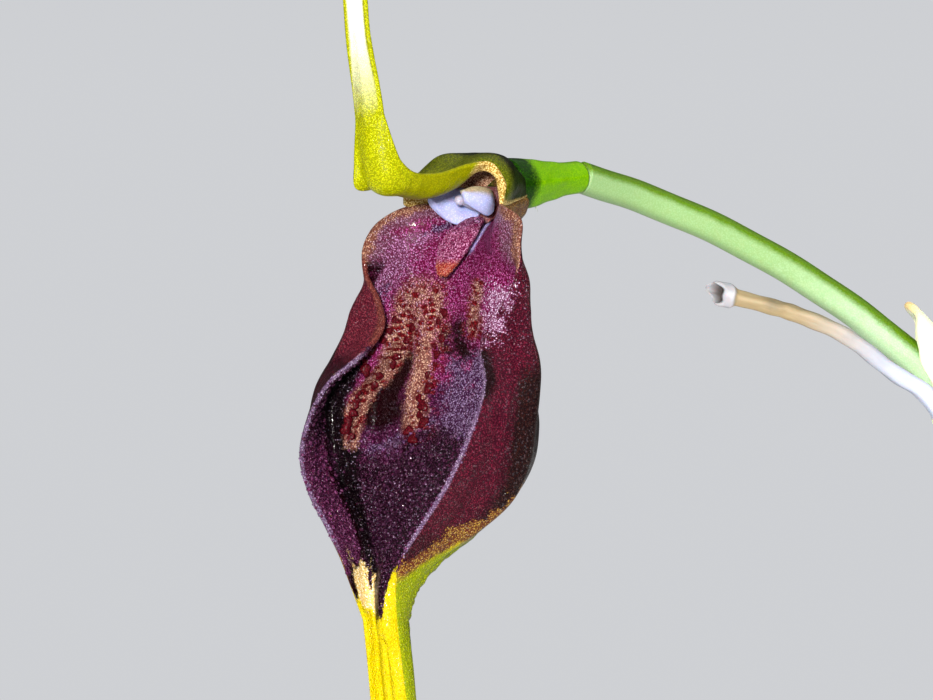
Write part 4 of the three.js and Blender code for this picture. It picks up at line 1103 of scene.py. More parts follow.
class ORCHID_OT_column(bpy.types.Operator):
    """Makes the white column with its cap, and the two petals beside it"""

    bl_idname = "orchid.column"
    bl_label = "Column and Petals"

    def execute(self, context):
        tissue = flower_tissue(
            "petal and column, translucent white tissue",
            ("#959ac6", "#a9afda"),
            [
                ("stain", "#6a3c40", "#a8787c", 0.4),
                ("cream", "#8f8468", "#aca088", 0.2),
                ("violet", "#8c88c0", "#a8a4d4", 0.3),
            ],
            roughness=0.28,
            glow=0.35,
            bump=0.12,
            swell=0.15,
        )
        t = np.linspace(0, 1, 60)

        def girth(t, angle):
            cap = np.sqrt(np.clip((1.01 - t) / 0.05, 0.02, 1)) * lerp(1.0, 0.36, ramp(t, 0.66, 0.93))
            wings = 1 + 0.22 * np.cos(angle) ** 6 * span(t, 0.2, 0.6, 0.7, 0.9)
            return lerp(0.5, 0.95, t) * cap * wings

        body = rod(middle_line(COLUMN_LINE, t), girth, 32, RIGHTWARD)
        foot = rod(middle_line(FOOT_LINE, t[::3]), lambda t, angle: FOOT_RADIUS, 20, RIGHTWARD)
        skin = join_skins(tube_skin(body), tube_skin(foot))
        forward = (skin[0] - FLOWER_ORIGIN) @ FORWARD
        fields = {"cream": 0.4 * ramp(forward, 1.5, 3.5), "stain": ramp(forward, 3.4, 2.2)}
        column = new_piece("column_and_cap", skin, **fields)
        finish_piece(column, tissue, "petal_white", "column")
        for name, rows, right in (("petal_left", LEFT_PETAL, 0), ("petal_right", RIGHT_PETAL, 1)):
            guides = [[in_flower(*row[j]) for row in rows] for j in range(3)]
            shares, across = edge_shares(30, 0.1), edge_shares(22, 0.1)
            grid = surface_through(guides if right else guides[::-1], shares, across)
            if not right:
                ragged = 0.12 * np.abs(np.sin(shares * 16))
                grid[..., 2] += ragged[:, None] * ramp(across, 0.6, 1.0)
            swell = 0.14 * np.sin(math.pi * np.clip(across, 0, 1)) * ramp(shares, 0.3, 0.6)[:, None]
            skin = sheet_skin(grid, PETAL_HALF + swell, round_edges(grid, PETAL_HALF))
            low = 0.4 * ramp(FLOWER_ORIGIN[2] - grid[..., 2], 0.7, 1.8)
            # The right petal's thin edge is painted a darker cream, for the dark cup seen through it.
            thin = right * ramp(across, 0.5, 0.15) + 0 * low
            petal = new_piece(f"{name}_blade", skin, cream=both_faces(thin), violet=both_faces(low))
            finish_piece(petal, tissue, "petal_white", name)
        self.droplets()
        return {"FINISHED"}

    def droplets(self):
        """Nectar, a clear wet drop: it shows by its highlights alone."""
        clear = {"Base_Color": srgb("#f4f4ff"), "Roughness": 0.02, "IOR": 1.36, "Transmission_Weight": 1.0}
        material, _, _ = new_material("nectar, clear liquid", **clear)
        polar = np.linspace(0, math.pi, 16)[1:-1, None]
        angle = turn_angles(20)
        level = [np.sin(polar) * np.cos(angle), np.sin(polar) * np.sin(angle), -np.cos(polar) + 0 * angle]
        skins = []
        for r, f, d, size in DROPLETS:
            points, faces = tube_skin(in_flower(r, f, d) + np.stack(level, -1) * size)
            points[-2:] = in_flower(r, f, d) + np.array([[0, 0, -size], [0, 0, size]])
            skins.append((points, faces))
        finish_piece(new_piece("nectar_drops", join_skins(*skins)), material, "petal_white")


class ORCHID_OT_lip(bpy.types.Operator):
    """Makes the small granular lip, which hangs from the column's foot"""

    bl_idname = "orchid.lip"
    bl_label = "Lip"

    def execute(self, context):
        t = np.linspace(0, 1, 70)
        spine = middle_line(LIP_LINE, t)
        _, sides, faces = frames_along(spine, RIGHTWARD)
        angle = turn_angles(40)
        along = t[:, None]
        tip = np.sqrt(np.clip((1.02 - along) / 0.35, 0.02, 1))
        grain = 1 + 0.03 * ripples(along * 60, np.cos(angle) * 9, np.sin(angle) * 9, 2)
        width = lerp(0.55, 1.2, np.minimum(1, along * 2.4)) * tip * grain
        groove = 1 - 0.25 * hump(np.cos(angle), 0, 0.3) * (np.sin(angle) > 0)
        depth = lerp(0.35, 0.5, along) * np.sqrt(tip) * groove * grain
        skin = tube_skin(beside(spine, sides, width * np.cos(angle), faces, depth * np.sin(angle)))
        down = FLOWER_ORIGIN[2] - skin[0][:, 2]
        lip = new_piece("lip_tongue", skin, orange=ramp(down, 3.8, 5.0), density=ramp(down, 1.9, 2.6))
        tissue = flower_tissue(
            "lip, granular living tissue",
            ("#540430", "#c486ac"),
            [("orange", "#742020", "#b87460", 0.5)],
            roughness=0.35,
            coat=0.4,
        )
        finish_piece(lip, tissue, "lip_rose", "lip")
        bead = bead_shape("lip_grain_shape")
        cells = flower_tissue(
            "lip papillae, waxy cells",
            ("#782850", "#c890b8"),
            [("orange", "#8c3c30", "#cc8468", 0.5)],
            bump=0.1,
            coat=0.4,
        )
        scatter("lip_papillae", lip, bead, cells, "lip_rose", 0.12, (0.035, 0.06), 0.4, 9)
        discard(bead)
        return {"FINISHED"}


OVARY_LENGTH = 7.4
OVARY_RINGS = 120
# The few hairs under the ovary: how far behind the flower, how far aside, and their length.
OVARY_HAIRS = [(1.4, 0.5, 0.55), (1.9, -0.4, 0.4), (2.5, 0.7, 0.6), (3.1, 0.2, 0.45), (3.5, -0.7, 0.5)]


class ORCHID_OT_ovary(bpy.types.Operator):
    """Makes the green ovary with its six low wavy crests, and its few hairs"""

    bl_idname = "orchid.ovary"
    bl_label = "Ovary"

    def execute(self, context):
        t = np.linspace(0, 1, OVARY_RINGS)
        axis = lerp(in_flower(0, 0.3, -0.55), in_flower(0, -OVARY_LENGTH, -1.3), t[:, None])

        def girth(t, angle):
            crest = (0.5 + 0.5 * np.cos(6 * angle)) ** 2
            wave = 0.8 + 0.2 * np.sin(t * 22 + 1.5 * np.cos(angle))
            size = lerp(1.8, 1.08, ramp(t, 0, 0.9)) + 0.14 * crest * wave * np.sin(math.pi * t) ** 0.6
            return size * (1 - 0.25 * ramp(t, 0.03, 0.0))

        skin = tube_skin(rod(axis, girth, 84, RIGHTWARD))
        points = skin[0]
        back = (FLOWER_ORIGIN - points) @ FORWARD
        aside = np.linalg.norm(points - points[-2], axis=1)
        # Painted shade on the ovary's end next to the flower.
        fields = {"dark": ramp(back, 2.4, 0.4), "throat": ramp(aside, 0.9, 0.3)}
        ovary = new_piece("ovary_crested", skin, **fields)
        tissue = flower_tissue(
            "ovary, fresh green tissue",
            ("#5c9200", "#76a600"),
            [("dark", "#0c2800", "#1c4400", 0.4), ("throat", "#30100c", "#7c4c38", 0.1)],
            roughness=0.36,
            coat=0.0,
            bump=0.12,
            swell=0.12,
            even=0.6,
        )
        finish_piece(ovary, tissue, "ovary_green", "ovary")
        skins = []
        for back, aside, long in OVARY_HAIRS:
            k = int(back / OVARY_LENGTH * (OVARY_RINGS - 1))
            drop = math.sqrt(max(girth(t[k], 0) ** 2 - aside**2, 0.1)) * 0.9
            foot = axis[k] + RIGHTWARD * aside - UP * drop
            line = foot + np.linspace(0, 1, 5)[:, None] * long * unit(RIGHTWARD * aside * 0.5 - UP)
            skins.append(tube_skin(rod(line, lambda t, angle: 0.035 * (1.05 - t), 5)))
        hairs = new_piece("ovary_hairs", join_skins(*skins))
        fine = flower_tissue("plant hairs, clear and colourless", ("#8c9488", "#a4aca0"), bump=0.0)
        finish_piece(hairs, fine, "ovary_green", "ovary")
        return {"FINISHED"}


# Points along the flower's stalk, and along the dry stalk of an earlier flower.
STALK_POINTS = [
    (-7.4, -5.85, 363.4),
    (-3.4, -2.6, 362.2),
    (2.0, -0.6, 360.0),
    (7.4, 0.3, 357.05),
    (12.2, 0.6, 353.75),
    (16.4, 0.4, 350.0),
    (19.4, 0.2, 344.9),
]
OLD_STALK_POINTS = [
    (1.75, 0.6, 355.9),
    (5.2, 0.3, 355.0),
    (7.3, 0.0, 354.35),
    (10.4, -0.8, 352.95),
    (13.4, -2.0, 350.6),
    (16.1, -3.0, 348.5),
    (18.4, -3.1, 343.6),
]
STALK_SIDES = 40
OLD_SIDES = 32
# The torn cup at the dry stalk's end: how many rings it has, and the rings of its hollow, by the
# outer ring that each lies in, its share of that ring's width, and how dark its painted shade is.
TORN_RINGS = 20
HOLLOW_RINGS = ((9, 0.45, 1.0), (6, 0.7, 0.9), (2, 0.86, 0.4))


class ORCHID_OT_stalks(bpy.types.Operator):
    """Makes the flower's fresh stalk and the dry one beside it, which ends in a torn cup"""

    bl_idname = "orchid.stalks"
    bl_label = "Flower Stalks"

    def execute(self, context):
        t = np.linspace(0, 1, 240)
        self.fresh_stalk(context.scene.orchid_stems.stalk_radius / MM, t)
        self.dry_stalk(t)
        return {"FINISHED"}

    def fresh_stalk(self, radius, t):
        """The living stalk, darker and clearer green along its upper side."""
        line = spline(STALK_POINTS, t)

        def girth(t, angle):
            return radius * (1 + 0.03 * np.cos(5 * angle) + 0.02 * np.sin(t * 40 + angle))

        skin = tube_skin(rod(line, girth, STALK_SIDES))
        rise = (skin[0][:-2] - np.repeat(line, STALK_SIDES, axis=0))[:, 2] / radius
        upper = np.append(ramp(rise, 0.0, 0.65), [0, 0])
        pale = np.append(np.repeat(ramp(t, 0.3, 0.8), STALK_SIDES), [0, 1])
        stalk = new_piece("flower_stalk_fresh", skin, lined=upper, fresh=pale)
        tissue = flower_tissue(
            "flower stalk, translucent green stem",
            ("#7a9a66", "#84a272"),
            [("fresh", "#92ae8a", "#9cb894", 0.3), ("lined", "#4c6e0e", "#588014", 0.3)],
            roughness=0.36,
            glow=0.25,
            bump=0.15,
            swell=0.15,
            even=0.7,
        )
        finish_piece(stalk, tissue, "stalk_green", "flower_stalk")

    def dry_stalk(self, t):
        """The withered stalk, ribbed and whitened towards its foot, with its hollow torn cup."""
        line = spline(OLD_STALK_POINTS, t)

        def girth(t, angle):
            ribs = 1 + 0.07 * np.cos(4 * angle + t * 5) + 0.04 * np.sin(t * 60 + 2 * angle)
            cup = 0.3 * span(t, -0.01, 0.012, 0.045, 0.07) + 0.06 * np.sin(3 * angle) * ramp(t, 0.05, 0.0)
            return lerp(0.5, 0.64, t) * ribs + cup

        rings = rod(line, girth, OLD_SIDES)
        torn = 0.1 * np.sin(turn_angles(OLD_SIDES) * 4 + 1)
        mouth = rings[:TORN_RINGS]
        leaning = (mouth - line[:TORN_RINGS, None]) @ np.array([0.0, 0.9, 0.35])
        reach = (torn + leaning) * np.linspace(1, 0, TORN_RINGS)[:, None]
        mouth += reach[..., None] * unit(line[0] - line[1])
        inner = [lerp(rings[k].mean(0), rings[k], share) for k, share, _ in HOLLOW_RINGS]
        rings = np.concatenate([inner, rings])
        place = np.linspace(0, 1, len(rings))[:, None] + np.zeros(OLD_SIDES)
        turn = np.linspace(0, 8, OLD_SIDES) + 0 * place
        sheet = np.stack([turn, place * 160, 0 * turn], axis=-1).reshape(-1, 3)
        whitened = most(ramp(place, 0.3, 0.85), 0.6 * ramp(place, 0.075, 0.06))
        hollow = np.zeros(place.shape)
        hollow[: len(inner)] = [[dark] for _, _, dark in HOLLOW_RINGS]
        stalk = new_piece(
            "old_stalk_dry",
            tube_skin(rings),
            sheet=np.concatenate([sheet, [[0, 0, 0], [4, 160, 0]]]),
            tip=np.append(whitened, [0, 1]),
            hollow=np.append(hollow, [1, 0]),
        )
        withered = papery("old stalk, withered dry stem", ("#80704e", "#9c8c70", "#5c5444"), 0.7, "#a8b0c6")
        finish_piece(stalk, withered, "dry_sheath", "old_flower_stalk")


def papery(name, colours, nerve, tint, sheen=0.0):
    """Dry bract or sheath, papery dead leaf tissue: thin, matt, with fine nerves along it that
    stand out a little, and browner blotches where it has aged."""
    material, tree, shader = new_material(
        name, Roughness=0.62, IOR=1.45, Subsurface_Weight=0.15, Subsurface_Scale=0.4 * MM, Sheen_Weight=sheen
    )
    stretch = add(tree, "stretch", add(tree, "sheet"), (1.0, 0.06, 1.0))
    nerves = add(tree, "noise", stretch, 1.0 / nerve, 3.0)
    aged = add(tree, "range", add(tree, "noise", add(tree, "place"), 0.25 / MM, 5.0), 0.5, 0.7)
    colour = add(tree, "mix", nerves, *colours[:2])
    colour = add(tree, "mix", aged, colour, colours[2])
    colour = add(tree, "mix", add(tree, "field", attribute_name="tip"), colour, tint)
    # Painted shade inside the torn cup's hollow.
    colour = add(tree, "mix", add(tree, "field", attribute_name="hollow"), colour, "#241a12")
    feed(tree, shader, {"Base Color": colour, "Normal": add(tree, "bump", nerves, 0.5, 0.08 * MM)})
    return material


def papery_piece(name, grid, half, across, down, tip):
    """A thin dry sheet from a grid. across and down say where its nerves run, and tip where its
    end is browned."""
    across, down, tip = (field + np.zeros(grid.shape[:2]) for field in (across, down, tip))
    sheet = both_faces(np.stack([across, down, 0 * down], axis=-1))
    skin = sheet_skin(grid, half, round_edges(grid, half))
    return new_piece(name, skin, sheet=sheet, tip=both_faces(tip))


# Round the stalk from its top: angle in degrees, reach along the stalk, distance from its axis.
BRACT_REACH = [
    (0, 10.6, 2.6),
    (25, 9.6, 2.5),
    (50, 8.6, 1.8),
    (85, 7.4, 1.65),
    (110, 5.2, 1.6),
    (150, 3.4, 1.6),
]
FLOWER_BRACT_HALF = 0.28
# How far the bract's foot stands off the stalk.
BRACT_CLEARANCE = 0.65


class ORCHID_OT_flower_bract(bpy.types.Operator):
    """Makes the pale bract that wraps the stalks' foot, with its slanting mouth and hooded tip"""

    bl_idname = "orchid.flower_bract"
    bl_label = "Flower Bract"

    def execute(self, context):
        radius = context.scene.orchid_stems.stalk_radius / MM
        fine = np.linspace(0, 1, 400)
        line = spline(STALK_POINTS, fine)
        tangents = unit(np.gradient(line, axis=0))
        travel = lengths_along(line, 0)
        around = [(-a, r, d) for a, r, d in BRACT_REACH[:0:-1]] + BRACT_REACH
        degrees, reaches, distances = spline(around, edge_shares(70, 0.05)).T
        angle = np.radians(degrees)
        shares = edge_shares(40, 0.06)
        rows = []
        for share in shares:
            reach = lerp(0.5, reaches, share)
            place = np.interp(travel[-1] - reach, travel, fine) * (len(fine) - 1)
            k = np.clip(place.astype(int), 0, len(fine) - 2)
            centre = line[k] + (line[k + 1] - line[k]) * (place - k)[:, None]
            tangent = tangents[k]
            back = unit(BACK - tangent * tangent[:, 1:2])
            size = lerp(radius + BRACT_CLEARANCE, distances, share)
            size = size + 0.08 * np.sin(angle * 7 + share * 6) * share
            level, rise = (size * np.sin(angle))[:, None], (size * np.cos(angle))[:, None]
            rows.append(centre + np.cross(tangent, back) * rise - back * level)
        tip = 0.8 * ramp(shares, 0.93, 1.0)[:, None] * hump(degrees, 0, 24)
        down = shares[:, None] * 10.0
        grid = np.array(rows)
        bract = papery_piece("flower_bract_wrap", grid, FLOWER_BRACT_HALF, degrees / 20.0, down, tip)
        colours = ("#e8efcf", "#cfdca6", "#dfe6c0")
        material = papery("bract, pale papery tissue", colours, 0.3, "#b98a3a", 0.2)
        finish_piece(bract, material, "bract_pale", "flower_bract")
        return {"FINISHED"}


# The three-winged flower stem, from the mix to the stalk's foot, and the joints along it.
SCAPE_ENDS = [
    (4.5, -1.0, MIX_LEVEL - STEM_DEPTH),
    (7.5, -1.0, MIX_LEVEL - STEM_DEPTH + 105.0),
    (19.0, 0.2, 344.2 - 85.0),
    (19.6, 0.2, 344.2),
]
SCAPE_RADIUS = 2.1
STEM_BRACTS = [0.24, 0.5, 0.76]
BRACT_LENGTH = 13.0
BRACT_HALF = 0.22


def green_stem(name, colours, fleck):
    """Living green stem, grown: smooth and waxy, with fine flecks of purple."""
    material, tree, shader = new_material(
        name, Roughness=0.42, IOR=1.42, Subsurface_Weight=0.08, Subsurface_Scale=0.8 * MM, Coat_Weight=0.1
    )
    long = add(tree, "stretch", add(tree, "place"), (1.0, 1.0, 0.12))
    streaks = add(tree, "noise", long, 1.4 / MM, 4.0)
    flecks = add(tree, "range", add(tree, "noise", long, 3.0 / MM, 2.0), 0.58, 0.68, 0.0, 0.6)
    colour = add(tree, "mix", flecks, add(tree, "mix", streaks, *colours), fleck)
    feed(tree, shader, {"Base Color": colour, "Normal": add(tree, "bump", streaks, 0.3, 0.1 * MM)})
    return material


class ORCHID_OT_flower_stem(bpy.types.Operator):
    """Makes the three-winged flower stem and the tubular bracts at its joints"""

    bl_idname = "orchid.flower_stem"
    bl_label = "Flower Stem"

    def execute(self, context):
        wing = context.scene.orchid_stems.wing_height
        t = np.linspace(0, 1, 260)
        travel = lengths_along(bezier(SCAPE_ENDS, t), 0)
        line = bezier(SCAPE_ENDS, np.interp(t * travel[-1], travel, t))

        def winged(t, angle):
            knots = sum(0.14 * hump(t, joint, 0.006) for joint in STEM_BRACTS)
            sharp = np.maximum(np.cos(3 * angle), 0) ** 2
            return SCAPE_RADIUS * lerp(1.05, 0.9, t) * (0.86 + knots + (wing + 0.14) * sharp)

        stem = new_piece("flower_stem_winged", tube_skin(rod(line, winged, 48)))
        material = green_stem("flower stem, waxy green tissue", ("#52742a", "#68893a"), "#5c3038")
        finish_piece(stem, material, "scape_green", "flower_stem")
        colours = ("#8f9a58", "#a8ac6c", "#8a7a48")
        material = papery("stem bract, half dry papery tissue", colours, 0.35, "#9a8050")
        shares = edge_shares(30, 0.04)[:, None]
        turns = edge_shares(50, 0.04)
        angle = math.pi + turns * TURN * 0.94
        size = SCAPE_RADIUS * 1.28 + 0.4 + 0.6 * shares + 0.08 * np.sin(6 * angle) * shares
        peak = shares**3 * 5 * np.clip(1 - np.abs(2 * turns - 1), 0, 1) ** 1.5
        for number, joint in enumerate(STEM_BRACTS, 1):
            place = joint + shares[:, 0] * BRACT_LENGTH / travel[-1]
            centres = np.stack([np.interp(place, t, line[:, k]) for k in range(3)], axis=-1)
            tangents, _, _ = frames_along(centres, BACK)
            face = unit(np.cross(tangents[0], BACK))
            grid = beside(centres, BACK, size * np.cos(angle), face, size * np.sin(angle))
            grid = grid + tangents[:1, None] * peak[..., None]
            tip = 0.8 * ramp(shares, 0.8, 1.0)
            name = f"stem_bract_{number}"
            bract = papery_piece(f"{name}_dry", grid, BRACT_HALF, angle * 3.0, shares * BRACT_LENGTH, tip)
            finish_piece(bract, material, "dry_sheath", name)
        return {"FINISHED"}


# Leafy stems, ring by ring: count, radius, first azimuth, lean, arch, length.
LEAF_RINGS = [(3, 7.5, 70, 4, 7, 152), (5, 13.5, 22, 12, 20, 146), (6, 21, -3, 23, 34, 134)]
LEAF_SEED = 11
STEM_RADIUS = 1.5
LEAF_THICKNESS = 1.7
LEAF_HALF_WIDTH = 11.5
SPINE_STEPS = 17
STALK_HALF_WIDTH = 2.1
# How far above the stem's top the leaf's stalk has its full width, and where its blade starts.
STALK_LENGTH = 24
BLADE_START = 14
SHEATH_FOOT = 2.4
SHEATH_GAP = 0.3
SHEATH_HALF = 0.18
# How far below the stem's top a sheath ends.
SHEATH_SHORT = 6


def leaf_plan():
    """Each leafy stem's place, lean, arch and size, drawn in the same order as for the solids."""
    draw = seeded_random(LEAF_SEED)
    leaves = []
    for count, radius, first, lean, arch, length in LEAF_RINGS:
        for i in range(count):
            leaf = {"azimuth": math.radians(first + 360 / count * i + lerp(-5, 5, draw()))}
            leaf["radius"] = radius + lerp(-0.6, 0.6, draw())
            leaf["lean"] = math.radians(lean + lerp(-1.5, 1.5, draw()))
            leaf["arch"] = math.radians(arch * lerp(0.8, 1.3, draw()))
            leaf["length"] = length * lerp(0.9, 1.05, draw())
            leaf["half_width"] = LEAF_HALF_WIDTH * lerp(0.86, 1.05, draw())
            leaf["stem"] = lerp(36, 48, draw())
            leaf["roll"] = math.radians(lerp(-9, 9, draw()))
            leaves.append(leaf)
    return leaves


def leaf_spine(leaf, t):
    """The line of a leafy stem from below the mix to the blade's tip, at shares t, and the level
    direction across it."""
    outward = np.array([math.cos(leaf["azimuth"]), math.sin(leaf["azimuth"]), 0.0])
    step = (leaf["length"] + STEM_DEPTH) / SPINE_STEPS
    start = UP * math.cos(leaf["lean"]) + outward * math.sin(leaf["lean"])
    points = [outward * leaf["radius"] + UP * MIX_LEVEL - start * STEM_DEPTH]
    for i in range(SPINE_STEPS):
        beyond = min(max(((i + 0.5) * step - STEM_DEPTH) / leaf["length"], 0), 1)
        tilt = leaf["lean"] + leaf["arch"] * beyond**1.6
        points.append(points[-1] + (UP * math.cos(tilt) + outward * math.sin(tilt)) * step)
    return spline(points, t), np.cross(UP, outward)


class ORCHID_OT_leaves(bpy.types.Operator):
    """Makes the fourteen leathery leaves on their thin stems"""

    bl_idname = "orchid.leaves"
    bl_label = "Leaves"

    def execute(self, context):
        material = self.leather_leaf(context.scene.orchid_leaves)
        stretches = ((0, 0.3, 13), (0.3, 0.93, 49), (0.93, 1, 13))
        t = np.concatenate([np.linspace(*ends, endpoint=False) for ends in stretches] + [[1.0]])
        angle = turn_angles(44)
        aside, upward = np.cos(angle), np.sin(angle)
        # The midrib is sunk above and stands out beneath.
        rib = 0.34 * hump(aside, 0, 0.09) * (upward > 0) + 0.28 * hump(aside, 0, 0.07) * (upward < 0)
        for number, leaf in enumerate(leaf_plan(), 1):
            length, stem, full = leaf["length"], leaf["stem"], leaf["half_width"]
            line, level = leaf_spine(leaf, t)
            hint = level * math.cos(leaf["roll"]) + np.cross(UP, level) * math.sin(leaf["roll"])
            _, sides, faces = frames_along(line, hint)
            s = (t * (length + STEM_DEPTH) - STEM_DEPTH)[:, None]
            stalk = np.clip((s - stem) / STALK_LENGTH, 0, 1)
            blade = np.clip((s - stem - BLADE_START) / (length - stem - BLADE_START), 0, 1)
            tip = np.sqrt(np.clip((1 - blade) / 0.12, 0, 1))
            swell = np.sin(math.pi * blade**1.25) ** 0.85
            half_width = lerp(STEM_RADIUS, STALK_HALF_WIDTH, stalk) + (full - STALK_HALF_WIDTH) * swell
            half_width = np.maximum(half_width * lerp(0.45, 1, tip), 0.8)
            thick = lerp(STEM_RADIUS, LEAF_THICKNESS / 2, ramp(s, stem, stem + 40)) * lerp(0.6, 1, tip)
            fold = 0.34 * stalk * lerp(1, 0.35, blade)
            flat = ramp(s, stem, stem + 30)
            width = half_width * aside
            bulge = upward * lerp(1.0, 1 - 0.35 * np.abs(aside) ** 3, flat)
            wave = 0.35 * np.sin(s / 9 + leaf["azimuth"] * 3) * aside**2 * np.sign(aside)
            rise = thick * bulge - fold * np.abs(width) - rib * flat + wave * flat * half_width / full
            skin = tube_skin(beside(line, sides, width, faces, rise))
            sheet = np.stack(np.broadcast_arrays(width, s, upward > 0), axis=-1).reshape(-1, 3)
            piece = new_piece(
                f"leaf_{number:02d}_blade",
                skin,
                sheet=np.concatenate([sheet, sheet[:1], sheet[-1:]]),
                green=np.append(flat + 0 * width, [0, 1]),
                tip=np.append(ramp(blade, 0.975, 1.0) + 0 * width, [0, 1]),
                tone=np.full(len(skin[0]), (number * 0.37) % 1),
            )
            finish_piece(piece, material, "leaf_green", f"leaf_{number:02d}")
        return {"FINISHED"}

    def leather_leaf(self, colours):
        """Orchid leaf, thick leathery living tissue: waxy and half glossy above, paler beneath,
        with a sunken midrib and faint veins along the blade."""
        material, tree, shader = new_material(
            "leaf, leathery living tissue",
            IOR=1.45,
            Subsurface_Weight=0.06,
            Subsurface_Scale=1.0 * MM,
            Coat_Weight=0.12,
            Coat_Roughness=0.3,
        )
        green, tone, tip = (add(tree, "field", attribute_name=name) for name in ("green", "tone", "tip"))
        sheet, place = add(tree, "sheet"), add(tree, "place")
        across, _, upper = add(tree, "parts", sheet).node.outputs
        # Veins about 1 mm apart along the blade.
        veins = add(tree, "noise", add(tree, "stretch", sheet, (1.0, 0.03, 1.0)), 1.1, 3.0)
        cloud = add(tree, "noise", place, 0.06 / MM, 5.0)
        rib = add(tree, "range", add(tree, "without sign", across), 0.7, 0.2, 0.0, 0.55)
        colour = add(tree, "mix", cloud, colours.leaf_dark, colours.leaf_light)
        colour = add(tree, "mix", add(tree, "range", veins, 0.4, 0.75, 0.0, 0.5), colour, "#5c7c36")
        colour = add(tree, "mix", upper, "#587838", colour)
        colour = add(tree, "mix", rib, colour, "#769044")
        colour = add(tree, "mix", green, "#6a7c3a", colour)
        colour = add(tree, "tone", colour, add(tree, "range", tone, 0.0, 1.0, 0.78, 1.15))
        colour = add(tree, "mix", tip, colour, "#8a6a34")
        gloss = add(tree, "range", cloud, 0.3, 0.7, 0.36, 0.52)
        height = add(tree, "times plus", add(tree, "noise", place, 2.5 / MM, 2.0), 0.3, veins)
        bump = add(tree, "bump", height, 0.35, 0.15 * MM)
        feed(tree, shader, {"Base Color": colour, "Roughness": gloss, "Normal": bump})
        return material


class ORCHID_OT_sheaths(bpy.types.Operator):
    """Makes the dry papery sheath round the foot of each leafy stem"""

    bl_idname = "orchid.sheaths"
    bl_label = "Dry Sheaths"

    def execute(self, context):
        colours = ("#b29a72", "#cbb88c", "#7d6440")
        material = papery("stem sheath, dry papery tissue", colours, 0.35, "#97805a")
        shares = edge_shares(34, 0.02)[:, None]
        turns = edge_shares(44, 0.04)
        angle = -math.pi / 2 + turns * TURN * 0.93
        for number, leaf in enumerate(leaf_plan(), 1):
            height = leaf["stem"] - SHEATH_SHORT
            s = lerp(SHEATH_FOOT, height, shares)
            line, side = leaf_spine(leaf, (s[:, 0] + STEM_DEPTH) / (leaf["length"] + STEM_DEPTH))
            tangents, _, _ = frames_along(line, side)
            flare = STEM_RADIUS + SHEATH_GAP + 0.35 + 0.5 * np.sin(s / height * math.pi)
            flare = flare + 0.09 * np.sin(7 * angle + number) * ramp(shares, 0.2, 1)
            notch = 5 * (1 - np.abs(2 * turns - 1)) + 0.5 * np.sin(turns * 40 + number)
            face = np.cross(tangents, side)
            grid = beside(line, side, flare * np.cos(angle), face, flare * np.sin(angle))
            grid = grid + tangents[:, None] * (ramp(shares, 0.55, 1) * notch)[..., None]
            name = f"sheath_{number:02d}"
            tip = 0.7 * ramp(shares, 0.7, 1.0)
            piece = papery_piece(f"{name}_dry", grid, SHEATH_HALF, angle * 2.2 + number, s, tip)
            finish_piece(piece, material, "dry_sheath", name)
        return {"FINISHED"}


BODY_TOP = POT_TOP_RADIUS - RIM_STEP
# The drainage holes, by their distance from the pot's middle and their radius.
DRAIN_REACH = 21.0
DRAIN_RADIUS = 4.0
DRILL_OVERSHOOT = 4.0


def pot_radius_at(height):
    return lerp(POT_BASE_RADIUS, BODY_TOP, height / UNDER_RIM)


# The pot's outline from its underside round the rim to its inner floor: radius, height, and how
# far from the corner its rounding starts.
POT_CORNERS = [
    (POT_BASE_RADIUS - 1.2, 0, 0),
    (POT_BASE_RADIUS + 0.1, 0.5, 0.8),
    (BODY_TOP, UNDER_RIM, 0.4),
    (POT_TOP_RADIUS - 0.4, UNDER_RIM + 0.6, 0.9),
    (POT_TOP_RADIUS + 0.1, UNDER_RIM + 2.6, 1.2),
    (POT_TOP_RADIUS + 0.6, POT_HEIGHT - 0.8, 1.6),
    (POT_TOP_RADIUS - 2.2, POT_HEIGHT + 0.2, 1.6),
    (POT_TOP_RADIUS - POT_WALL - 1.2, POT_HEIGHT - 0.4, 1.2),
    (BODY_TOP - POT_WALL, UNDER_RIM, 3.0),
    (pot_radius_at(POT_FLOOR) - POT_WALL, POT_FLOOR, 2.0),
    (0.0, POT_FLOOR, 0),
]


def pot_profile():
    """The pot's outline with rounded corners, in steps of about 3 mm."""
    profile = [np.zeros(2)]
    for k, (r, z, soft) in enumerate(POT_CORNERS):
        here = np.array([r, z])
        if not soft:
            profile.append(here)
            continue
        ends = []
        for near in (POT_CORNERS[k - 1], POT_CORNERS[k + 1]):
            away = np.array(near[:2]) - here
            length = np.linalg.norm(away)
            ends.append(here + away / length * min(soft, length / 2))
        t = np.linspace(0, 1, 6)[:, None]
        profile += list(ends[0] * (1 - t) ** 2 + 2 * here * t * (1 - t) + ends[1] * t**2)
    fine = profile[:1]
    for a, b in zip(profile, profile[1:]):
        steps = max(1, round(math.dist(a, b) / 3.0))
        fine += [lerp(a, b, k / steps) for k in range(1, steps + 1)]
    return np.array(fine)


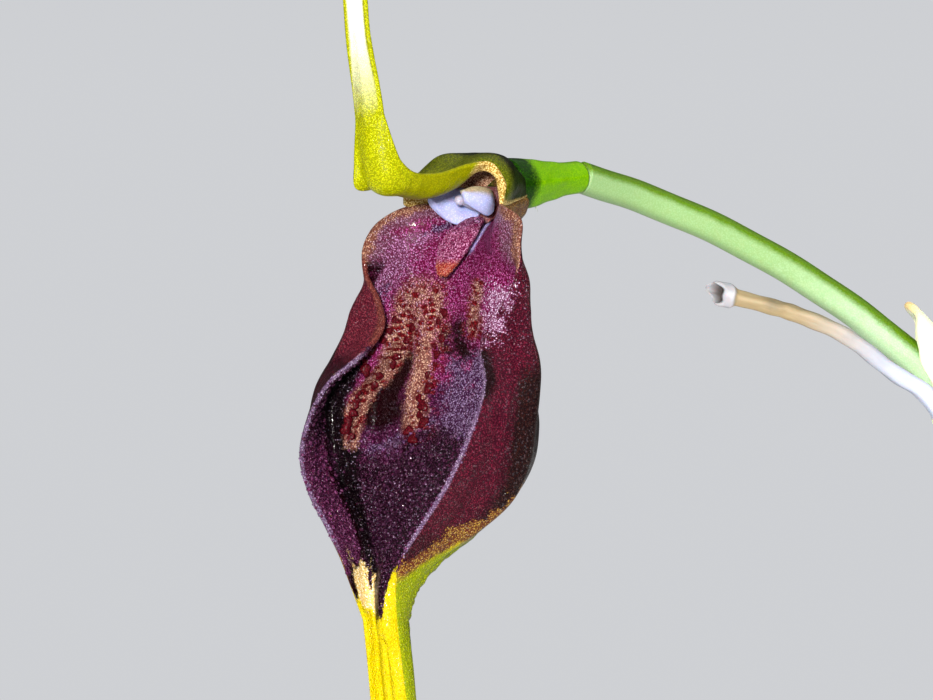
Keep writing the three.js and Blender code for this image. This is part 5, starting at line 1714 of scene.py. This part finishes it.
class ORCHID_OT_pot(bpy.types.Operator):
    """Makes the plain clay pot with its rim band and drainage holes"""

    bl_idname = "orchid.pot"
    bl_label = "Clay Pot"

    def execute(self, context):
        sizes = context.scene.orchid_pot
        angle = turn_angles(144)
        radius, height = pot_profile().T[..., None]
        wall = (height > 1.5) & (radius > POT_BASE_RADIUS - 1)
        radius = radius + wall * (0.1 * np.sin(height * 2.1) + 0.08 * np.sin(2 * angle + 0.7))
        rings = np.stack([radius * np.cos(angle), radius * np.sin(angle), height + 0 * radius], axis=-1)
        points, faces = tube_skin(rings[1:-1])
        points[-2:] = [(0, 0, 0), (0, 0, POT_FLOOR)]
        pot = new_piece("pot_fired_clay", (points, faces))
        for k in range(sizes.drain_count):
            turn = (k + 0.5) / sizes.drain_count * TURN
            centre = DRAIN_REACH * np.array([math.cos(turn), math.sin(turn), 0])
            line = centre + np.linspace(-DRILL_OVERSHOOT, POT_FLOOR + DRILL_OVERSHOOT, 3)[:, None] * UP
            drill = new_piece("drill", tube_skin(rod(line, lambda t, angle: DRAIN_RADIUS, 32)))
            cut = pot.modifiers.new("drain", "BOOLEAN")
            cut.operation = "DIFFERENCE"
            cut.object = drill
            cut.solver = "EXACT"
            drained = evaluated_mesh(pot, "pot_fired_clay")
            discard(pot, drill)
            pot = drained
        pot.name = "pot_fired_clay"
        finish_piece(pot, self.terracotta(sizes), "terracotta", "pot")
        return {"FINISHED"}

    def terracotta(self, colours):
        """Terracotta, thrown and fired unglazed: matt and porous, with turning marks, paler
        lime bloom low down, and darker specks."""
        material, tree, shader = new_material("terracotta, thrown and fired", Roughness=0.88, IOR=1.5)
        place = add(tree, "place")
        height = add(tree, "parts", place).node.outputs[2]
        cloud = add(tree, "noise", add(tree, "stretch", place, (1.0, 1.0, 3.0)), 0.035 / MM, 6.0)
        low = add(tree, "range", height, 30 * MM, 2 * MM)
        bloom = add(tree, "noise", {"Vector": place, "Scale": 0.07 / MM, "Detail": 9.0, "Roughness": 0.7})
        chalk = add(tree, "range", add(tree, "times plus", low, 0.22, bloom), 0.55, 0.82, 0.0, 0.6)
        specks = add(tree, "range", add(tree, "noise", place, 1.2 / MM, 2.0), 0.62, 0.72, 0.0, 0.5)
        colour = add(tree, "mix", cloud, colours.clay_dark, colours.clay_light)
        colour = add(tree, "mix", chalk, colour, "#d8bfa8")
        colour = add(tree, "mix", specks, colour, "#7a4128")
        # Grit of about 0.7 mm stands out of the skin, over turning marks 3 mm apart.
        grit = add(tree, "noise", place, 1.4 / MM, 5.0)
        marks = add(tree, "noise", {"W": height, "Scale": 0.33 / MM}, noise_dimensions="1D")
        bump = add(tree, "bump", add(tree, "times plus", marks, 1.5, grit), 0.45, 0.3 * MM)
        feed(tree, shader, {"Base Color": colour, "Normal": bump})
        return material


# Kinds of bark chip: how long, wide and thick for its size, and how far apart they lie.
CHIP_KINDS = [((1.0, 0.62, 0.36), 6.5), ((0.8, 0.7, 0.5), 6.0), ((1.2, 0.4, 0.3), 7.5)]
MIX_GAP = 0.6


def bark(name, colours):
    """Fir bark chips, split and weathered: fibrous, matt, dark where damp, with paler cork."""
    material, tree, shader = new_material(name, Roughness=0.85, IOR=1.45)
    place = add(tree, "place")
    cloud = add(tree, "noise", place, 0.09 / MM, 3.0)
    fibre = add(tree, "noise", {"Vector": place, "Scale": 0.7 / MM, "Detail": 6.0, "Distortion": 0.6})
    colour = add(tree, "mix", cloud, colours.bark_dark, colours.bark_light)
    colour = add(tree, "tone", colour, add(tree, "range", fibre, 0.35, 0.7, 0.45, 1.35))
    feed(tree, shader, {"Base Color": colour, "Normal": add(tree, "bump", fibre, 0.8, 0.5 * MM)})
    return material


class ORCHID_OT_potting_mix(bpy.types.Operator):
    """Makes the potting mix: a bed of coarse bark with loose chips on it"""

    bl_idname = "orchid.potting_mix"
    bl_label = "Potting Mix"

    def execute(self, context):
        low, high = (pot_radius_at(z) - POT_WALL - MIX_GAP for z in (POT_FLOOR, UNDER_RIM))
        radius = np.linspace(high + 0.6, 1.5, 46)
        crown = MIX_LEVEL - 1.0 + MIX_CROWN * (1 - (radius / high) ** 2)
        wall = [(low - 0.4, POT_FLOOR + 0.3), (high, UNDER_RIM), (high + 1, MIX_LEVEL - 1.5)]
        reach, height = np.concatenate([wall, np.stack([radius, crown], axis=-1)]).T[..., None]
        angle = turn_angles(120)
        x, y = reach * np.cos(angle), reach * np.sin(angle)
        top = ramp(reach, high + 0.5, high - 2) * (height > UNDER_RIM + 2)
        rough = height + top * (1.1 * ripples(x / 2.6, y / 2.6, 0 * x, 5) - 0.6)
        density = top * ramp(reach, high - 1, high - 5) + 0 * x
        skin = tube_skin(np.stack([x, y, rough], axis=-1))
        bed = new_piece("potting_mix_bed", skin, density=np.append(density, [0, 1]))
        material = bark("fir bark, split and weathered", context.scene.orchid_pot)
        finish_piece(bed, material, "bark", "potting_mix")
        for k, (squeeze, spacing) in enumerate(CHIP_KINDS):
            chip = self.chip_shape(f"chip_shape_{k}", squeeze, k)
            scatter(f"bark_chips_{k + 1}", bed, chip, material, "bark", spacing, (3.4, 6.2), 0.9, 20 + k)
            discard(chip)
        return {"FINISHED"}

    def chip_shape(self, name, squeeze, seed):
        """One split chip about 2 mm across before its copies are scaled."""

        def square(t, angle):
            return 1.0 / np.maximum(np.abs(np.cos(angle)), np.abs(np.sin(angle))) ** 0.8

        long, wide, thick = squeeze
        t = np.linspace(-1, 1, 7)
        rings = rod(np.stack([t * long, 0 * t, 0 * t], axis=-1), square, 12) * (1, wide, thick)
        shake = ripples(rings[..., 0] * 3, rings[..., 1] * 4, rings[..., 2] * 5, seed + 1)
        return new_piece(name, tube_skin(rings * (1 + 0.16 * shake[..., None])))


# The studio's lights: name, kind, place, size (in degrees for the sky light), spread in degrees,
# strength, colour.
LIGHTS = [
    ("key", "AREA", (-0.16, -1.45, 0.46), 0.16, 60.0, 4.9, "#fffaf2"),
    ("fill", "AREA", (2.0, -1.5, 1.4), 2.0, 180.0, 7.0, "#f2f6ff"),
    ("overhead", "SUN", (0.2, -0.1, 1.3), 120.0, None, 1.6, "#ffffff"),
]
LIT_POINT = Vector((0.0, 0.0, 0.3))
FLOOR_SIDES = 96
SENSOR_WIDTH = 36.0


class ORCHID_OT_stage(bpy.types.Operator):
    """Makes the pale floor, the soft studio light and the camera"""

    bl_idname = "orchid.stage"
    bl_label = "Stage"

    def execute(self, context):
        stage = context.scene.orchid_stage
        self.floor(stage.floor_radius / MM)
        context.scene.world = self.backdrop()
        for name, kind, place, size, spread, power, colour in LIGHTS:
            data = bpy.data.lights.new(name, kind)
            if kind == "AREA":
                data.shape = "DISK"
                data.size = size
                data.spread = math.radians(spread)
            else:
                data.angle = math.radians(size)
            data.energy = power * stage.key_strength
            data.color = srgb(colour)[:3]
            light = placed(name, data)
            light.location = place
            light.rotation_euler = (LIT_POINT - light.location).to_track_quat("-Z", "Y").to_euler()
            light.visible_camera = False
        camera = placed("camera", bpy.data.cameras.new("camera"))
        camera.data.sensor_width = SENSOR_WIDTH
        camera.data.lens = SENSOR_WIDTH * stage.camera_distance / stage.view_width
        camera.data.clip_start = 0.01
        camera.location = Vector(stage.view_centre) - Vector((0, stage.camera_distance, 0))
        camera.rotation_euler = (math.pi / 2, 0, 0)
        context.scene.camera = camera
        return {"FINISHED"}

    def floor(self, radius):
        """Matt painted board, evenly pale, with the faintest cloud in its paint."""
        angle = turn_angles(FLOOR_SIDES)
        edge = np.stack([radius * np.cos(angle), radius * np.sin(angle), 0 * angle], axis=-1)
        floor = new_piece("floor", (edge, [range(FLOOR_SIDES)]))
        # Light from a sweep behind and beside it, which is not built, keeps the board evenly pale.
        material, tree, shader = new_material(
            "floor, matt painted board",
            Roughness=0.9,
            Emission_Color=srgb("#eceef2"),
            Emission_Strength=0.24,
        )
        cloud = add(tree, "noise", add(tree, "place"), 0.004 / MM)
        feed(tree, shader, {"Base Color": add(tree, "mix", cloud, "#e2e1de", "#e6e5e2")})
        floor.data.materials.append(material)

    def backdrop(self):
        """A pale backdrop, which is paler to the eye than the light that it gives."""
        world = bpy.data.worlds.new("studio")
        world.use_nodes = True
        tree = world.node_tree
        tree.nodes.clear()
        height = add(tree, "parts", add(tree, "place").node.outputs["Generated"]).node.outputs[2]
        rise = add(tree, "range", height, 0.05, 0.5, 0.74, 0.55)
        seen = add(tree, "ShaderNodeLightPath").node.outputs["Is Camera Ray"]
        glow = add(tree, "times", rise, add(tree, "range", seen, 0.0, 1.0, 0.09, 1.0))
        back = add(tree, "ShaderNodeBackground", {"Color": "#eceef2", "Strength": glow})
        add(tree, "ShaderNodeOutputWorld", {"Surface": back})
        return world


# Sizes and colours that a user would change.
def length_value(title, description, default, least):
    """A length, whose default and least value are given in millimetres."""
    return bpy.props.FloatProperty(
        name=title,
        description=description,
        default=default * MM,
        min=least * MM,
        precision=5,
        subtype="DISTANCE",
        unit="LENGTH",
    )


def colour_value(title, description, code):
    """A colour, whose default is given as sRGB hex."""
    return bpy.props.FloatVectorProperty(
        name=title, description=description, default=srgb(code), size=4, min=0.0, max=1.0, subtype="COLOR"
    )


class ORCHID_PG_flower(bpy.types.PropertyGroup):
    sepal_thickness: length_value("Sepal Thickness", "Thickness of the sepals' tissue", 0.8, 0.2)
    tail_thickness: length_value("Tail Thickness", "Thickness of the tails' tissue", 0.7, 0.2)
    tail_length: length_value("Tail Length", "Length of each sepal's tail", 92, 10)
    papilla_spacing: length_value(
        "Papilla Spacing", "Least distance between the papillae on the cup's lining", 0.24, 0.1
    )


class ORCHID_PG_stems(bpy.types.PropertyGroup):
    stalk_radius: length_value("Stalk Radius", "Radius of the flower's own stalk", 1.05, 0.3)
    wing_height: bpy.props.FloatProperty(
        name="Wing Height",
        description="How far the flower stem's wings stand out, as a share of its radius",
        default=0.28,
        min=0.0,
        max=1.0,
        subtype="FACTOR",
    )


class ORCHID_PG_leaves(bpy.types.PropertyGroup):
    leaf_dark: colour_value("Leaf Dark", "Darker green of the leaves", "#264a16")
    leaf_light: colour_value("Leaf Light", "Lighter green of the leaves", "#437026")


class ORCHID_PG_pot(bpy.types.PropertyGroup):
    drain_count: bpy.props.IntProperty(
        name="Drain Holes", description="Number of holes in the pot's floor", default=4, min=1, max=8
    )
    clay_dark: colour_value("Clay Dark", "Darker colour of the fired clay", "#944a28")
    clay_light: colour_value("Clay Light", "Lighter colour of the fired clay", "#b2683e")
    bark_dark: colour_value("Bark Dark", "Damp colour of the bark", "#3a2418")
    bark_light: colour_value("Bark Light", "Dry colour of the bark", "#8a5c3a")


class ORCHID_PG_stage(bpy.types.PropertyGroup):
    floor_radius: length_value("Floor Radius", "Radius of the pale floor", 4600, 500)
    key_strength: bpy.props.FloatProperty(
        name="Light Strength", description="Scales every studio light", default=1.0, min=0.0
    )
    camera_distance: length_value(
        "Camera Distance", "From the camera to the plane that it is framed on", 350, 50
    )
    view_width: length_value("View Width", "Width that the picture takes in at that plane", 60.645, 10)
    view_centre: bpy.props.FloatVectorProperty(
        name="View Centre",
        description="The point that the picture is centred on",
        default=(-15 * MM, -12 * MM, 352 * MM),
        size=3,
        subtype="XYZ",
        unit="LENGTH",
    )


class ORCHID_PT_panel(bpy.types.Panel):
    """Lists the orchid's sizes, colours and pieces"""

    bl_idname = "ORCHID_PT_panel"
    bl_label = "Potted Orchid"
    bl_space_type = "VIEW_3D"
    bl_region_type = "UI"
    bl_category = "Orchid"

    def draw(self, context):
        for group in GROUPS:
            box = self.layout.box()
            values = getattr(context.scene, group)
            for prop in values.bl_rna.properties:
                if prop.identifier not in ("name", "rna_type"):
                    box.prop(values, prop.identifier)
        for step in STEPS:
            self.layout.operator(step.bl_idname)


GROUPS = {
    "orchid_flower": ORCHID_PG_flower,
    "orchid_stems": ORCHID_PG_stems,
    "orchid_leaves": ORCHID_PG_leaves,
    "orchid_pot": ORCHID_PG_pot,
    "orchid_stage": ORCHID_PG_stage,
}
STEPS = [
    ORCHID_OT_stage,
    ORCHID_OT_pot,
    ORCHID_OT_potting_mix,
    ORCHID_OT_leaves,
    ORCHID_OT_sheaths,
    ORCHID_OT_flower_stem,
    ORCHID_OT_stalks,
    ORCHID_OT_flower_bract,
    ORCHID_OT_ovary,
    ORCHID_OT_upper_sepal,
    ORCHID_OT_lateral_sepals,
    ORCHID_OT_column,
    ORCHID_OT_lip,
]


def register():
    for kind in (*GROUPS.values(), *STEPS, ORCHID_PT_panel):
        bpy.utils.register_class(kind)
    for name, kind in GROUPS.items():
        setattr(bpy.types.Scene, name, bpy.props.PointerProperty(type=kind))


def unregister():
    for name in GROUPS:
        delattr(bpy.types.Scene, name)
    for kind in (ORCHID_PT_panel, *reversed(STEPS), *reversed(GROUPS.values())):
        bpy.utils.unregister_class(kind)


def main():
    register()
    for step in STEPS:
        group, name = step.bl_idname.split(".")
        getattr(getattr(bpy.ops, group), name)()
    bpy.context.scene.view_settings.view_transform = "Standard"


if __name__ == "__main__":
    main()
